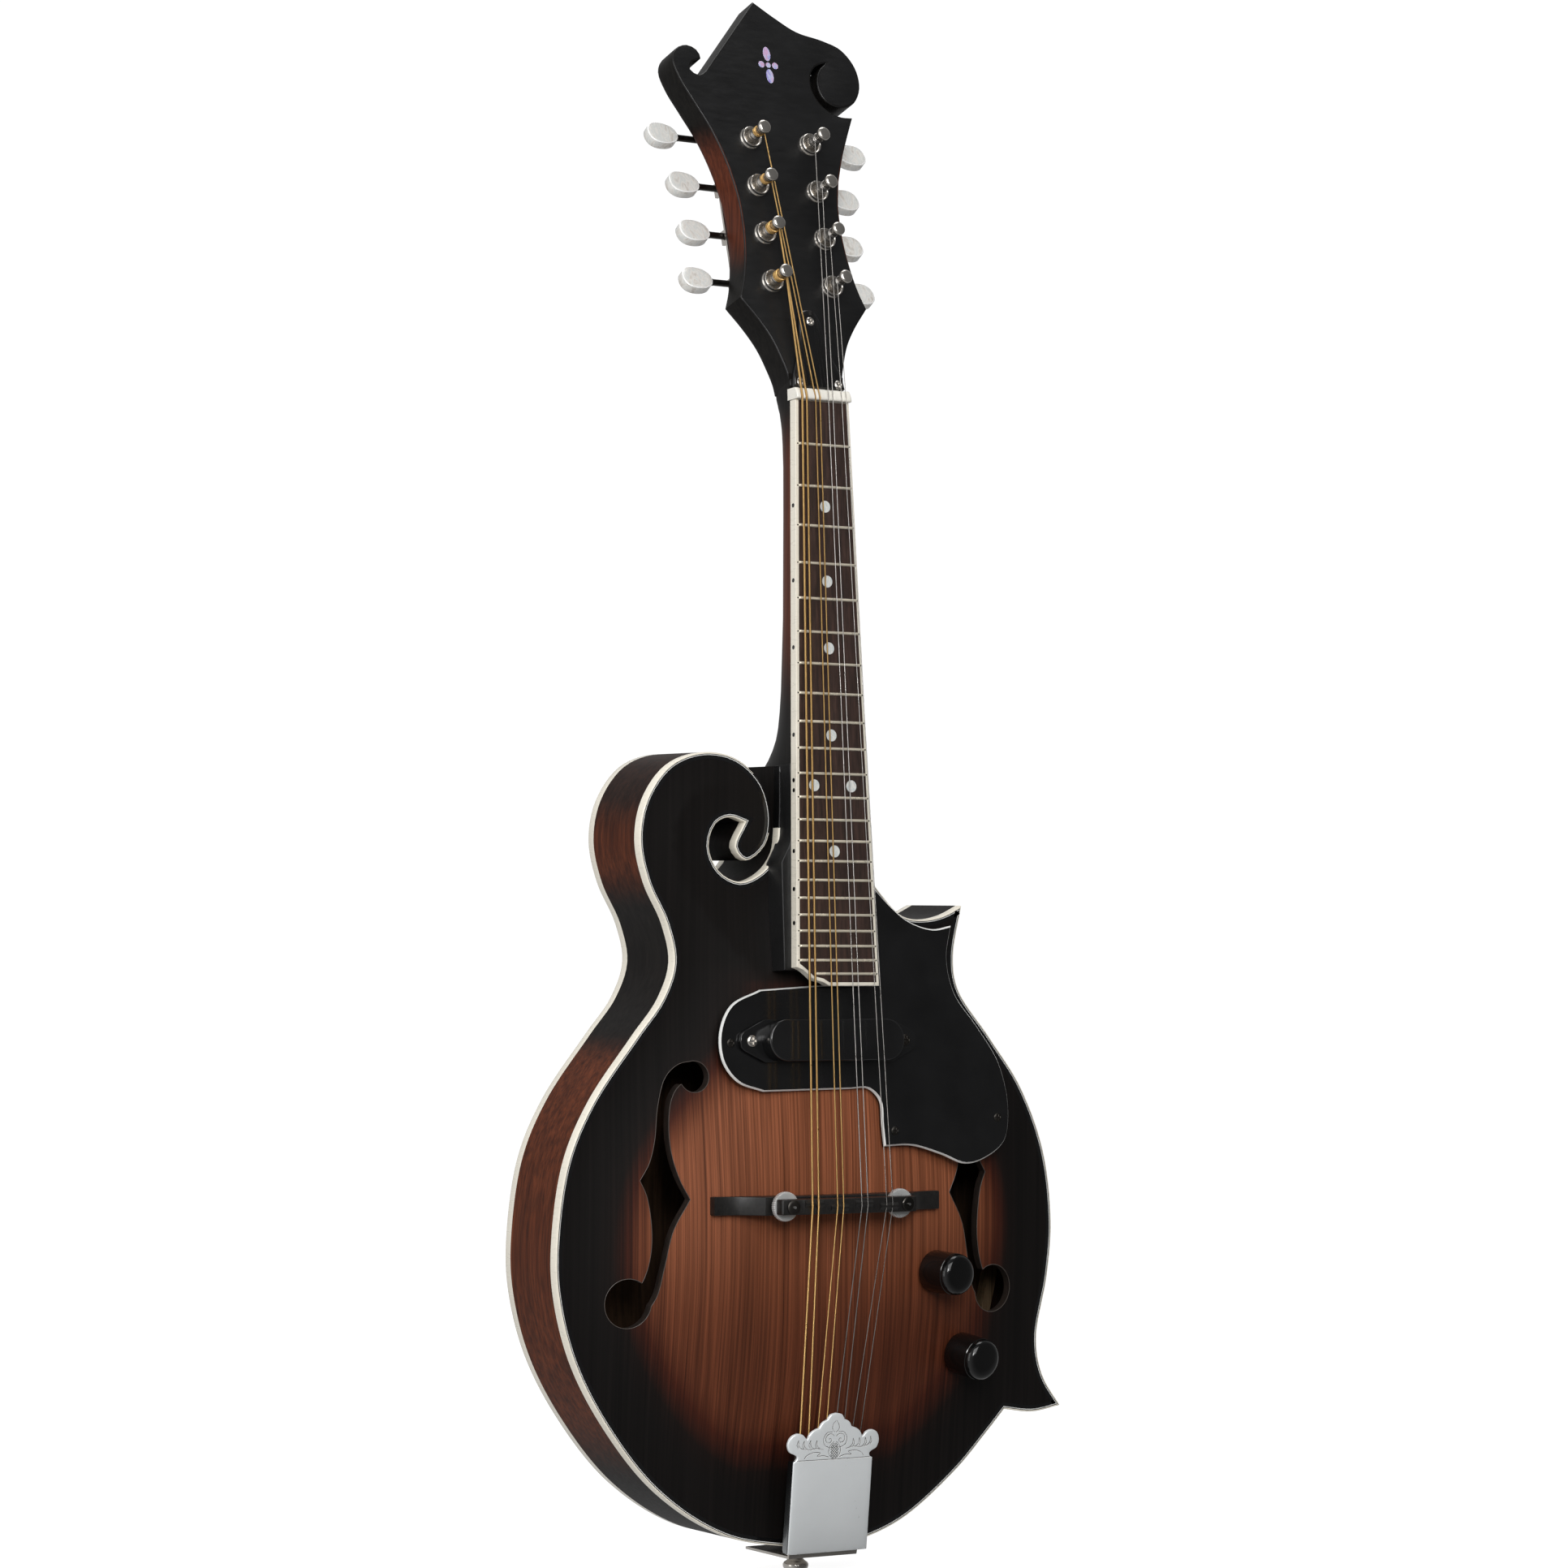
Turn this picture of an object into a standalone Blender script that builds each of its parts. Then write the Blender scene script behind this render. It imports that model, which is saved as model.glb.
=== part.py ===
"""Scroll-body electric-acoustic mandolin, upright, in metres, +Z up.

The soundboard faces -Y and the treble side is +X.  The origin is the centre of the strap
button's end face.  Sizes in this file are millimetres; MM turns them into metres.

Every piece is drawn in one of a few frames (empties).  In each frame local X is the
instrument's X, local Y runs up the instrument and local Z is the height towards the player's
audience, so a "height" is always measured out of the face that the frame names.
"""
import math

import bpy
import bmesh
import numpy as np
from mathutils import Matrix, Vector

MM = 0.001
GAP = 0.3                    # clearance between neighbouring pieces

# Driving dimensions
SCALE_LENGTH = 350.0
BRIDGE_Z = 162.0             # bridge line above the strap button's end
SOUNDBOARD_Y = -10.5         # plane of the soundboard's edge
BODY_DEPTH = 44.8            # from the soundboard's edge to the back's edge
PLATE_THICKNESS = 4.5
RIM_THICKNESS = 3.0
BINDING_WIDTH = 1.5
BINDING_DEPTH = 4.8
TOP_ARCH = 12.3
BACK_ARCH = 9.0

BOARD_OVER_BRIDGE = 25.8     # fretboard plane, carried on to the bridge, over the soundboard
NECK_TILT = 4.0              # degrees, neck against body
HEAD_TILT = 12.5             # degrees, headstock against neck
HEAD_THICKNESS = 15.2
BOARD_THICKNESS = 4.5
NUT_HALF_WIDTH = 13.9
BOARD_END_HALF_WIDTH = 21.3
BOARD_END = -257.0
FRETS = 22
NECK_END_Z = 352.0           # where the heel meets the rim

STRING_OVER_BRIDGE = 32.8
NUT_STRING_HEIGHT = 1.8      # string centre over the fretboard plane at the nut
GUARD_UNDER_STRINGS = 16.5
STRING_RADIUS = {"g": 0.5, "d": 0.33, "a": 0.2, "e": 0.15}

POST_HALF_SPACING = 15.6
POST_PITCH = 23.05
FIRST_POST = 50.6            # lowest post above the nut, along the headstock
GEAR_TEETH = 14
GEAR_RADIUS = 4.2
WORM_RADIUS = 1.6
WORM_OFFSET = GEAR_RADIUS + WORM_RADIUS + 0.35
WORM_DEPTH = 19.0            # worm axis behind the headstock's face
BUTTON_CENTRE = [42.8, 40.6, 42.4, 49.9]   # lowest pair first
BUTTON_REST_TURN = 16.0      # degrees, faces turned up at rest

STUD_X = 29.4
WHEEL_RADIUS = 6.4
PICKUP_Y = 70.7              # above the bridge line
PICKUP_HALF_LENGTH = 34.7
PICKUP_HALF_WIDTH = 9.2
KNOB_PLACES = {"volume": (57.0, 130.5), "tone": (74.8, 93.4)}
KNOB_HEIGHT = 20.0
JACK_Z = 146.0
TAILPIECE_TILT = 5.5         # degrees, cover against soundboard
TAILPIECE_WIDTH = 40.6

# Outlines, as runs of points.  A run is smooth, and runs meet at corners.
BODY_OUTLINE = [
    [(0, 10.6), (-42, 18.7), (-76, 39.2), (-102, 68.5), (-118.8, 97.5), (-127, 127), (-127.6, 150),
     (-122.5, 182), (-111, 206.5), (-90, 234.2), (-77.2, 250.5), (-71.7, 266), (-75.5, 282.5),
     (-85, 300.5), (-89.4, 318.5), (-86.1, 336), (-74.5, 351), (-57.5, 357), (-40.5, 354.2),
     (-28.2, 343.8), (-23.6, 329), (-26.4, 317), (-36, 310.5), (-41.7, 316.3), (-36.7, 327.2)],
    [(-36.7, 327.2), (-44.4, 329.2), (-51.4, 326.2), (-54.8, 316.5), (-49.8, 306), (-38.9, 301.2),
     (-27.5, 305.6), (-20.8, 314), (-19.3, 325), (-19.3, NECK_END_Z)],
    [(-19.3, NECK_END_Z), (19.3, NECK_END_Z)],
    [(19.3, NECK_END_Z), (19.8, 326), (24.5, 309.5), (36.3, 295), (46, 287), (57, 285.6),
     (68, 287.6), (77.6, 292)],
    [(77.6, 292), (73.4, 269), (76, 255), (93.6, 233), (110.7, 210.8), (123.5, 182), (128.3, 150),
     (126.5, 126), (120.8, 97), (124.3, 80.8), (134.2, 66.5)],
    [(134.2, 66.5), (119, 64.3), (103.5, 66.2)],
    [(103.5, 66.2), (93.2, 55.6), (77.3, 40.4), (49, 20.7), (24.3, 12.5), (0, 10.6)],
]
HEAD_HALF_OUTLINE = [
    [(13.9, 1.5), (14.4, 7), (16.4, 14), (19.8, 23), (25, 31.5), (33.1, 41.8)],
    [(33.1, 41.8), (30.2, 50), (27.8, 61), (26.3, 75), (26.6, 90), (29, 103.5)],
]
HEAD_RIGHT_OUTLINE = [
    [(29, 103.5), (33.4, 116.5), (38, 127.5), (42, 136.4)],
    [(42, 136.4), (36, 136.2), (30.3, 137.8), (25.2, 142), (22.2, 148), (22.6, 155), (26, 160), (32, 162.6)],
    [(32, 162.6), (27.6, 158.3), (25.4, 151.5), (27, 145), (32, 141.4), (38, 141), (44.2, 144), (48.6, 152),
     (47.8, 162), (41.5, 170.3), (32, 173.8), (18.5, 176.5), (8, 182), (-2.7, 188.7)],
    [(-2.7, 188.7), (-33.8, 150.6)],
    [(-33.8, 150.6), (-37.4, 148.6), (-41.4, 150.8), (-40, 154.4), (-35, 156.8), (-36.6, 161), (-41.5, 162.8),
     (-47.5, 160.2), (-50.2, 154.5), (-47.8, 145.5), (-42.5, 135.5), (-36, 123.6), (-31.6, 112.5),
     (-29, 103.5)],
]
F_HOLE_TOP_EYE = (-62.8, 217.2, 6.8)
F_HOLE_BOTTOM_EYE = (-94.2, 121.0, 10.6)
F_HOLE_ARM = [
    [(-62.8, 224), (-70, 222.6), (-76.2, 217.2), (-80.2, 205), (-82.2, 190), (-85, 180.4), (-89.3, 173.2)],
    [(-89.3, 173.2), (-86.3, 166.5), (-84.1, 152), (-84.6, 141), (-87.5, 131), (-94, 121)],
    [(-94, 121), (-86, 116.5)],
    [(-86, 116.5), (-81.4, 123.5), (-78.3, 136), (-74.5, 151.5), (-66.9, 164.9)],
    [(-66.9, 164.9), (-71.2, 173), (-74.6, 184), (-75.5, 196), (-73.6, 208), (-69.6, 213.6), (-63, 216)],
    [(-63, 216), (-62.8, 224)],
]
# Measured up from the bridge line
PICKGUARD_OUTLINE = [
    [(21.9, 96.5), (21.9, 144)],
    [(21.9, 144), (27, 138.8), (36.9, 129.3), (45.2, 123.5), (57.9, 119.9), (68.2, 121.5)],
    [(68.2, 121.5), (65.2, 106.9), (68.6, 91.5), (80.4, 76.3), (91.2, 60), (95.4, 41), (92.7, 25.8),
     (82.1, 18.2), (71, 15.8), (58.2, 20.2), (43, 24.3), (28.4, 24.2)],
    [(28.4, 24.2), (27.6, 34), (26.8, 44.4), (21, 49.6), (12, 49.6)],
    [(12, 49.6), (-33, 48.9)],
    [(-33, 48.9), (-45.8, 53.2), (-53, 62), (-54, 74.5), (-48, 86.2), (-33, 93)],
    [(-33, 93), (21.9, 96.5)],
]
BOARD_TAIL = [(-4.6, BOARD_END), (-7.5, -255.4), (-12.5, -254.3), (-14.9, -252.2), (-17.8, -250.1),
              (-21.0, -248.9)]
TAILPIECE_HALF_CREST = [(18.6, 41.6), (18.3, 43.2), (21.6, 44.4), (23.5, 48), (21.8, 51.6), (18.6, 52.6),
                        (15.4, 51.3), (14.2, 49.8), (12.6, 53.2), (9.2, 54.6), (7.2, 57.4), (3.9, 58.4),
                        (2.4, 60.4), (0, 61)]

MATERIALS = {
    "sunburst_top": ((0.16, 0.055, 0.02), 0.0, 0.35),
    "mahogany": ((0.12, 0.035, 0.015), 0.0, 0.4),
    "spruce": ((0.62, 0.43, 0.25), 0.0, 0.6),
    "black_satin": ((0.012, 0.012, 0.013), 0.0, 0.45),
    "rosewood": ((0.055, 0.028, 0.018), 0.0, 0.5),
    "ebony": ((0.018, 0.016, 0.015), 0.0, 0.4),
    "cream_binding": ((0.82, 0.76, 0.64), 0.0, 0.35),
    "bone": ((0.86, 0.82, 0.72), 0.0, 0.35),
    "gloss_black": ((0.01, 0.01, 0.011), 0.0, 0.08),
    "chrome": ((0.8, 0.8, 0.82), 1.0, 0.1),
    "steel": ((0.6, 0.6, 0.6), 1.0, 0.3),
    "pearloid": ((0.78, 0.77, 0.73), 0.0, 0.25),
    "bronze": ((0.75, 0.52, 0.25), 1.0, 0.3),
}


# Scene and frames

for existing in list(bpy.data.objects):
    bpy.data.objects.remove(existing, do_unlink=True)

mandolin = bpy.data.collections.new("mandolin")
cutters = bpy.data.collections.new("cutters")
bpy.context.scene.collection.children.link(mandolin)
bpy.context.scene.collection.children.link(cutters)


def frame_at(name, matrix):
    empty = bpy.data.objects.new(name, None)
    mandolin.objects.link(empty)
    empty.matrix_world = matrix
    return empty


def facing(x, y, z, tilt=0.0):
    """Frame whose height axis looks to -Y, leaning back by tilt degrees."""
    place = Matrix.Translation(Vector((x, y, z)) * MM)
    return place @ Matrix.Rotation(math.radians(90.0 - tilt), 4, "X")


def axis_frame(origin, axis):
    """Frame with its Z along axis, for turned pieces."""
    turn = Vector(axis).normalized().to_track_quat("Z", "Y").to_matrix().to_4x4()
    return Matrix.Translation(origin) @ turn


tilt = math.radians(NECK_TILT)
nut_y = SOUNDBOARD_Y - BOARD_OVER_BRIDGE * math.cos(tilt) + SCALE_LENGTH * math.sin(tilt)
nut_z = BRIDGE_Z + BOARD_OVER_BRIDGE * math.sin(tilt) + SCALE_LENGTH * math.cos(tilt)
HEAD_ON_NECK = Matrix.Translation(Vector((0, 5.0, -3.5)) * MM)
STRING_SLOPE = math.degrees(math.atan2(
    STRING_OVER_BRIDGE - (SOUNDBOARD_Y - nut_y) - NUT_STRING_HEIGHT, nut_z - BRIDGE_Z))

BODY = frame_at("body_frame", facing(0, SOUNDBOARD_Y, 0))
NECK = frame_at("neck_frame", facing(0, nut_y, nut_z, NECK_TILT))
HEAD = frame_at("head_frame", NECK.matrix_world @ HEAD_ON_NECK
                @ Matrix.Rotation(math.radians(-HEAD_TILT), 4, "X"))
GUARD = frame_at("pickguard_frame", facing(
    0, SOUNDBOARD_Y - STRING_OVER_BRIDGE + GUARD_UNDER_STRINGS, BRIDGE_Z, STRING_SLOPE))
TAIL = frame_at("tailpiece_frame", facing(0, SOUNDBOARD_Y - 14.6, 11.3, -TAILPIECE_TILT))
# Local X up the body, local Y out of the soundboard, local Z towards treble
SIDE = frame_at("side_frame", Matrix.Translation((0, SOUNDBOARD_Y * MM, 0))
                @ Matrix(((0, 0, 1, 0), (0, -1, 0, 0), (1, 0, 0, 0), (0, 0, 0, 1))))
# Local Y out of the soundboard, local Z down the body, at the bridge line
BRIDGE = frame_at("bridge_frame", Matrix.Translation(Vector((0, SOUNDBOARD_Y, BRIDGE_Z)) * MM)
                  @ Matrix(((1, 0, 0, 0), (0, -1, 0, 0), (0, 0, -1, 0), (0, 0, 0, 1))))
BUTTON = frame_at("strap_button_frame", Matrix.Identity(4))


# Outlines

def smooth_run(points, step):
    """Points along a centripetal Catmull-Rom curve through a run."""
    knots = [np.array(p, float) for p in points]
    if len(knots) == 2:
        return knots[:1]
    ends = [2 * knots[0] - knots[1]] + knots + [2 * knots[-1] - knots[-2]]
    traced = []
    for a, b, c, d in zip(ends, ends[1:], ends[2:], ends[3:]):
        t1 = math.sqrt(np.linalg.norm(b - a))
        t2 = t1 + math.sqrt(np.linalg.norm(c - b))
        t3 = t2 + math.sqrt(np.linalg.norm(d - c))
        count = max(2, round(np.linalg.norm(c - b) / step))
        for t in np.linspace(t1, t2, count, endpoint=False):
            ab = a + (b - a) * t / t1
            bc = b + (c - b) * (t - t1) / (t2 - t1)
            cd = c + (d - c) * (t - t2) / (t3 - t2)
            abc = ab + (bc - ab) * t / t2
            bcd = bc + (cd - bc) * (t - t1) / (t3 - t1)
            traced.append(abc + (bcd - abc) * (t - t1) / (t2 - t1))
    return traced


def closed_loop(runs, step):
    return np.array([p for run in runs for p in smooth_run(run, step)])


def mirrored(runs):
    return [[(-x, y) for x, y in run[::-1]] for run in runs[::-1]]


def inset(loop, distance, sharpest=3.0):
    """A loop moved inwards, with its corners kept as corners."""
    area = np.sum(loop[:, 0] * np.roll(loop[:, 1], -1) - np.roll(loop[:, 0], -1) * loop[:, 1])
    side = 1.0 if area > 0 else -1.0
    forward = np.roll(loop, -1, axis=0) - loop
    forward /= np.linalg.norm(forward, axis=1)[:, None]
    inward = side * np.stack([-forward[:, 1], forward[:, 0]], axis=1)
    corner = inward + np.roll(inward, 1, axis=0)
    corner /= np.maximum(np.linalg.norm(corner, axis=1), 1e-6)[:, None]
    reach = 1.0 / np.maximum(np.sum(corner * inward, axis=1), 1.0 / sharpest)
    return loop + corner * (reach * distance)[:, None]


def distance_to(loop, x, y):
    start = loop
    span = np.roll(loop, -1, axis=0) - loop
    along = ((x - start[:, 0]) * span[:, 0] + (y - start[:, 1]) * span[:, 1]) / np.sum(span ** 2, axis=1)
    near = start + span * np.clip(along, 0, 1)[:, None]
    return float(np.min(np.hypot(near[:, 0] - x, near[:, 1] - y)))


def smoothstep(t):
    t = min(max(t, 0.0), 1.0)
    return t * t * (3 - 2 * t)


body_loop = closed_loop(BODY_OUTLINE, 10.0)
plate_loop = inset(body_loop, BINDING_WIDTH + GAP)


def top_arch(x, y):
    """Height of the soundboard over its edge plane."""
    over_bridge = max(y - BRIDGE_Z, 0.0)
    shoulder = 95.0 - 40.0 * smoothstep(over_bridge / 110.0)
    fall = 1.0 / (1.0 + (over_bridge / 90.0) ** 2)
    return TOP_ARCH * fall * smoothstep(distance_to(plate_loop, x, y) / shoulder)


def back_arch(x, y):
    return BACK_ARCH * smoothstep(distance_to(plate_loop, x, y) / 85.0)


# Making pieces

def material(name):
    if name in bpy.data.materials:
        return bpy.data.materials[name]
    colour, metallic, roughness = MATERIALS[name]
    made = bpy.data.materials.new(name)
    made.use_nodes = True
    shader = made.node_tree.nodes["Principled BSDF"]
    shader.inputs["Base Color"].default_value = (*colour, 1.0)
    shader.inputs["Metallic"].default_value = metallic
    shader.inputs["Roughness"].default_value = roughness
    return made


def add(name, data, frame, collection=mandolin):
    piece = bpy.data.objects.new(name, data)
    collection.objects.link(piece)
    piece.parent = frame
    return piece


def as_mesh(piece):
    """The evaluated piece as a welded mesh object of the same name, in place of the first."""
    bpy.context.view_layer.update()
    evaluated = piece.evaluated_get(bpy.context.evaluated_depsgraph_get())
    mesh = bpy.data.meshes.new_from_object(evaluated)
    welded = bmesh.new()
    welded.from_mesh(mesh)
    bmesh.ops.remove_doubles(welded, verts=welded.verts, dist=0.00002)
    welded.to_mesh(mesh)
    welded.free()
    name, world, collection = piece.name, piece.matrix_world.copy(), piece.users_collection[0]
    bpy.data.objects.remove(piece, do_unlink=True)
    solid = bpy.data.objects.new(name, mesh)
    collection.objects.link(solid)
    solid.matrix_world = world
    return solid


def finish(piece, finish_name, angle=35):
    piece.data.materials.clear()
    piece.data.materials.append(material(finish_name))
    piece.data.shade_smooth()
    piece.data.set_sharp_from_angle(angle=math.radians(angle))
    return piece


def plate(name, loops, low, high, frame):
    """Flat piece with the given outlines, between two heights of its frame."""
    curve = bpy.data.curves.new(name, "CURVE")
    curve.dimensions = "2D"
    curve.fill_mode = "BOTH"
    curve.extrude = (high - low) / 2 * MM
    for loop in loops:
        spline = curve.splines.new("POLY")
        spline.points.add(len(loop) - 1)
        for point, (x, y) in zip(spline.points, loop):
            point.co = (x * MM, y * MM, 0, 1)
        spline.use_cyclic_u = True
    piece = add(name, curve, frame)
    piece.location = (0, 0, (low + high) / 2 * MM)
    return as_mesh(piece)


def box(name, low, high, frame):
    mesh = bpy.data.meshes.new(name)
    cube = bmesh.new()
    bmesh.ops.create_cube(cube, size=1.0)
    for vertex in cube.verts:
        vertex.co = [(l + h) / 2 * MM + c * (h - l) * MM for l, h, c in zip(low, high, vertex.co)]
    cube.to_mesh(mesh)
    cube.free()
    return as_mesh(add(name, mesh, frame))


def turned(name, profile, frame, steps=24, at=(0, 0, 0)):
    """Solid of revolution about the frame's Z; the profile runs from top to bottom."""
    mesh = bpy.data.meshes.new(name)
    mesh.from_pydata([(r * MM, 0, z * MM) for r, z in profile],
                     [(i, i + 1) for i in range(len(profile) - 1)], [])
    piece = add(name, mesh, frame)
    piece.location = Vector(at) * MM
    screw = piece.modifiers.new("turn", "SCREW")
    screw.steps = steps
    screw.render_steps = steps
    screw.use_merge_vertices = True
    screw.merge_threshold = 0.00001
    return as_mesh(piece)


def rod(name, radius, start, end, frame, steps=12):
    """Cylinder between two points of a frame."""
    start, end = Vector(start), Vector(end)
    world = frame.matrix_world
    holder = frame_at(name + "_axis", axis_frame(world @ (start * MM), world.to_3x3() @ (end - start)))
    length = (end - start).length
    made = turned(name, [(0, length), (radius, length), (radius, 0), (0, 0)], holder, steps)
    bpy.data.objects.remove(holder, do_unlink=True)
    return made


def combine(piece, others, operation):
    """Join the others to a piece, or cut them out of it, and use them up."""
    for other in others:
        cutters.objects.link(other)
        mandolin.objects.unlink(other)
        other.hide_render = True
        other.display_type = "WIRE"
        boolean = piece.modifiers.new(other.name, "BOOLEAN")
        boolean.operation = operation
        boolean.object = other
    solid = as_mesh(piece)
    for other in others:
        bpy.data.objects.remove(other, do_unlink=True)
    return solid


def join(piece, *others):
    return combine(piece, others, "UNION")


def cut(piece, *others):
    return combine(piece, others, "DIFFERENCE")


def circle(x, y, radius, count=16):
    angles = [2 * math.pi * i / count for i in range(count)]
    return [(x + radius * math.cos(a), y + radius * math.sin(a)) for a in angles]


# Body

def knob_frame(place, sink=0.0):
    """Frame square to the soundboard at a place, sunk below its surface."""
    x, y = place
    step = 4.0
    slope_x = (top_arch(x + step, y) - top_arch(x - step, y)) / (2 * step)
    slope_y = (top_arch(x, y + step) - top_arch(x, y - step)) / (2 * step)
    normal = Vector((-slope_x, -1.0, -slope_y)).normalized()
    origin = Vector((x, SOUNDBOARD_Y - top_arch(x, y), y)) - normal * sink
    return axis_frame(origin * MM, normal)


KNOB_FRAMES = {name: frame_at(name + "_frame", knob_frame(place)) for name, place in KNOB_PLACES.items()}


def f_hole(sign):
    """Cutters of one f-hole: its two eyes and the arm between them."""
    made = []
    for label, (x, y, radius) in (("top", F_HOLE_TOP_EYE), ("bottom", F_HOLE_BOTTOM_EYE)):
        made.append(plate(f"f_eye_{label}", [circle(sign * x, y, radius, 18)], -8, 8, BODY))
    arm = [(sign * x, y) for x, y in closed_loop(F_HOLE_ARM, 8.0)]
    made.append(plate("f_arm", [arm], -8, 8, BODY))
    return made


def arched_plate(name, low, arch, spacing, cutouts):
    """Carved plate: a slab with a grid of points, cut to its outline and then raised."""
    centre, size = (0.0, 184.0), (280.0, 364.0)
    columns, rows = round(size[0] / spacing), round(size[1] / spacing)
    mesh = bpy.data.meshes.new(name)
    grid = bmesh.new()
    bmesh.ops.create_grid(grid, x_segments=columns, y_segments=rows, size=0.5)
    for vertex in grid.verts:
        vertex.co = ((centre[0] + vertex.co.x * size[0]) * MM, (centre[1] + vertex.co.y * size[1]) * MM,
                     low * MM)
    grid.to_mesh(mesh)
    grid.free()
    slab = add(name, mesh, BODY)
    solidify = slab.modifiers.new("thickness", "SOLIDIFY")
    solidify.thickness = PLATE_THICKNESS * MM
    solidify.offset = 1.0
    outline = plate(name + "_outline", [plate_loop], low - 5, low + PLATE_THICKNESS + 5, BODY)
    slab = combine(slab, [outline], "INTERSECT")
    if cutouts:
        slab = cut(slab, *cutouts)
    for vertex in slab.data.vertices:
        vertex.co.z += arch(vertex.co.x / MM, vertex.co.y / MM) * MM
    return slab


def make_soundboard():
    top = arched_plate("top_plate", -PLATE_THICKNESS, top_arch, 14.0, f_hole(1) + f_hole(-1))
    holes = [rod(f"{name}_hole", 4.0, (0, 0, -12), (0, 0, 8), KNOB_FRAMES[name]) for name in KNOB_PLACES]
    finish(cut(top, *holes), "sunburst_top")


def make_back():
    back = arched_plate("back_plate", -BODY_DEPTH, lambda x, y: -back_arch(x, y), 18.0, [])
    finish(back, "mahogany")


def make_sides():
    inside = inset(body_loop, RIM_THICKNESS)
    rim_high = -BINDING_DEPTH - GAP
    rim_low = -BODY_DEPTH + BINDING_DEPTH + GAP
    mid = (rim_high + rim_low) / 2
    rim = plate("rim", [body_loop, inside], rim_low, rim_high, BODY)
    jack_hole = rod("jack_hole", 6.2, (120, JACK_Z, mid), (135, JACK_Z, mid), BODY, 16)
    peg_hole = rod("peg_hole", 3.4, (0, 5, SOUNDBOARD_Y), (0, 20, SOUNDBOARD_Y), BODY)
    finish(cut(rim, jack_hole, peg_hole), "mahogany")
    bound = inset(body_loop, BINDING_WIDTH)
    finish(plate("binding_front", [body_loop, bound], -BINDING_DEPTH, 0, BODY), "cream_binding")
    finish(plate("binding_back", [body_loop, bound], -BODY_DEPTH, -BODY_DEPTH + BINDING_DEPTH, BODY),
           "cream_binding")
    return rim_low, rim_high


def inside_curve(distance):
    """The sides' inner curve from the treble waist round the tail to the bass waist, past the
    lower point."""
    path = [p for p, q in zip(inset(body_loop, distance), body_loop)
            if q[1] < 265 and not (q[0] > 104 and q[1] < 92)]
    turn = next(i for i, p in enumerate(path) if p[0] > 60)
    return path[turn:] + path[:turn]


def make_inside(rim_low, rim_high):
    """Linings, end blocks and tone bars, which the closed body hides."""
    strip = inside_curve(RIM_THICKNESS + 0.8) + inside_curve(RIM_THICKNESS + 5.6)[::-1]
    peg_bore = rod("peg_bore", 3.4, (0, 10, SOUNDBOARD_Y), (0, 50, SOUNDBOARD_Y), BODY)
    finish(cut(plate("lining_front", [strip], rim_high - 6, rim_high, BODY), peg_bore), "spruce")
    finish(plate("lining_back", [strip], rim_low, rim_low + 6, BODY), "spruce")

    def tail_outline(distance, half_width, high):
        arc = [p for p in inside_curve(distance) if abs(p[0]) < half_width and p[1] < high]
        return [(half_width, high)] + arc + [(-half_width, high)]

    block = plate("tail_block", [tail_outline(RIM_THICKNESS + 6.2, 34, 42)], rim_low, rim_high, BODY)
    core = plate("tail_core", [tail_outline(RIM_THICKNESS + 0.8, 34, 40)], rim_low + 6.4, rim_high - 6.4,
                 BODY)
    peg_bore = rod("peg_bore", 3.4, (0, 10, SOUNDBOARD_Y), (0, 50, SOUNDBOARD_Y), BODY)
    finish(cut(join(block, core), peg_bore), "mahogany")
    neck_block = box("neck_block", (-15.9, 300, rim_low), (15.9, NECK_END_Z - 3.4, rim_high), BODY)
    finish(neck_block, "mahogany")

    for label, foot, head in (("bass", -24, -17), ("treble", 24, 17)):
        bar = []
        for sign, order in ((0, np.linspace(70, 235, 9)), (1, np.linspace(235, 70, 9))):
            for z in order:
                x = foot + (head - foot) * (z - 70) / 165
                under = top_arch(abs(x) + 3, z) - PLATE_THICKNESS - 0.9
                bar.append((z, under - sign * 7.0))
        lean = (foot + head) / 2
        piece = plate(f"tone_bar_{label}", [bar], lean - 3, lean + 3, SIDE)
        finish(piece, "spruce")


# Neck

def board_half_width(up):
    return NUT_HALF_WIDTH + (BOARD_END_HALF_WIDTH - NUT_HALF_WIDTH) * up / BOARD_END


def neck_section(up, half_width, depth, count=12):
    """Flat-topped cross-section, round-backed along the neck and squarer up into the headstock."""
    top = -BOARD_THICKNESS - GAP
    power = 2.1 + 3.0 * smoothstep((up + 16) / 20)
    points = []
    for i in range(count + 1):
        c, s = math.cos(math.pi * i / count), math.sin(math.pi * i / count)
        across = math.copysign(abs(c) ** (2 / power), c)
        points.append(Vector((half_width * across, up, top - depth * abs(s) ** (2 / power))) * MM)
    return points


def neck_shaft():
    """Loft from the headstock's root to the heel."""
    depths = {9: 11.0, 4: 13.4, 0: 15.0, -8: 15.6, -20: 16.0, -50: 16.6, -95: 18, -127: 22, -143: 26, -152: 31, -158: 37.5,
              -161: 43, -166: 47}
    mesh = bpy.data.meshes.new("neck")
    shaft = bmesh.new()
    rings = [[shaft.verts.new(p) for p in neck_section(up, board_half_width(min(up, 0)), depth)]
             for up, depth in depths.items()]
    for upper, lower in zip(rings, rings[1:]):
        for i in range(len(upper)):
            j = (i + 1) % len(upper)
            shaft.faces.new((upper[i], upper[j], lower[j], lower[i]))
    shaft.faces.new(rings[0][::-1])
    shaft.faces.new(rings[-1])
    bmesh.ops.recalc_face_normals(shaft, faces=shaft.faces)
    shaft.to_mesh(mesh)
    shaft.free()
    return as_mesh(add("neck", mesh, NECK))


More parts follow.
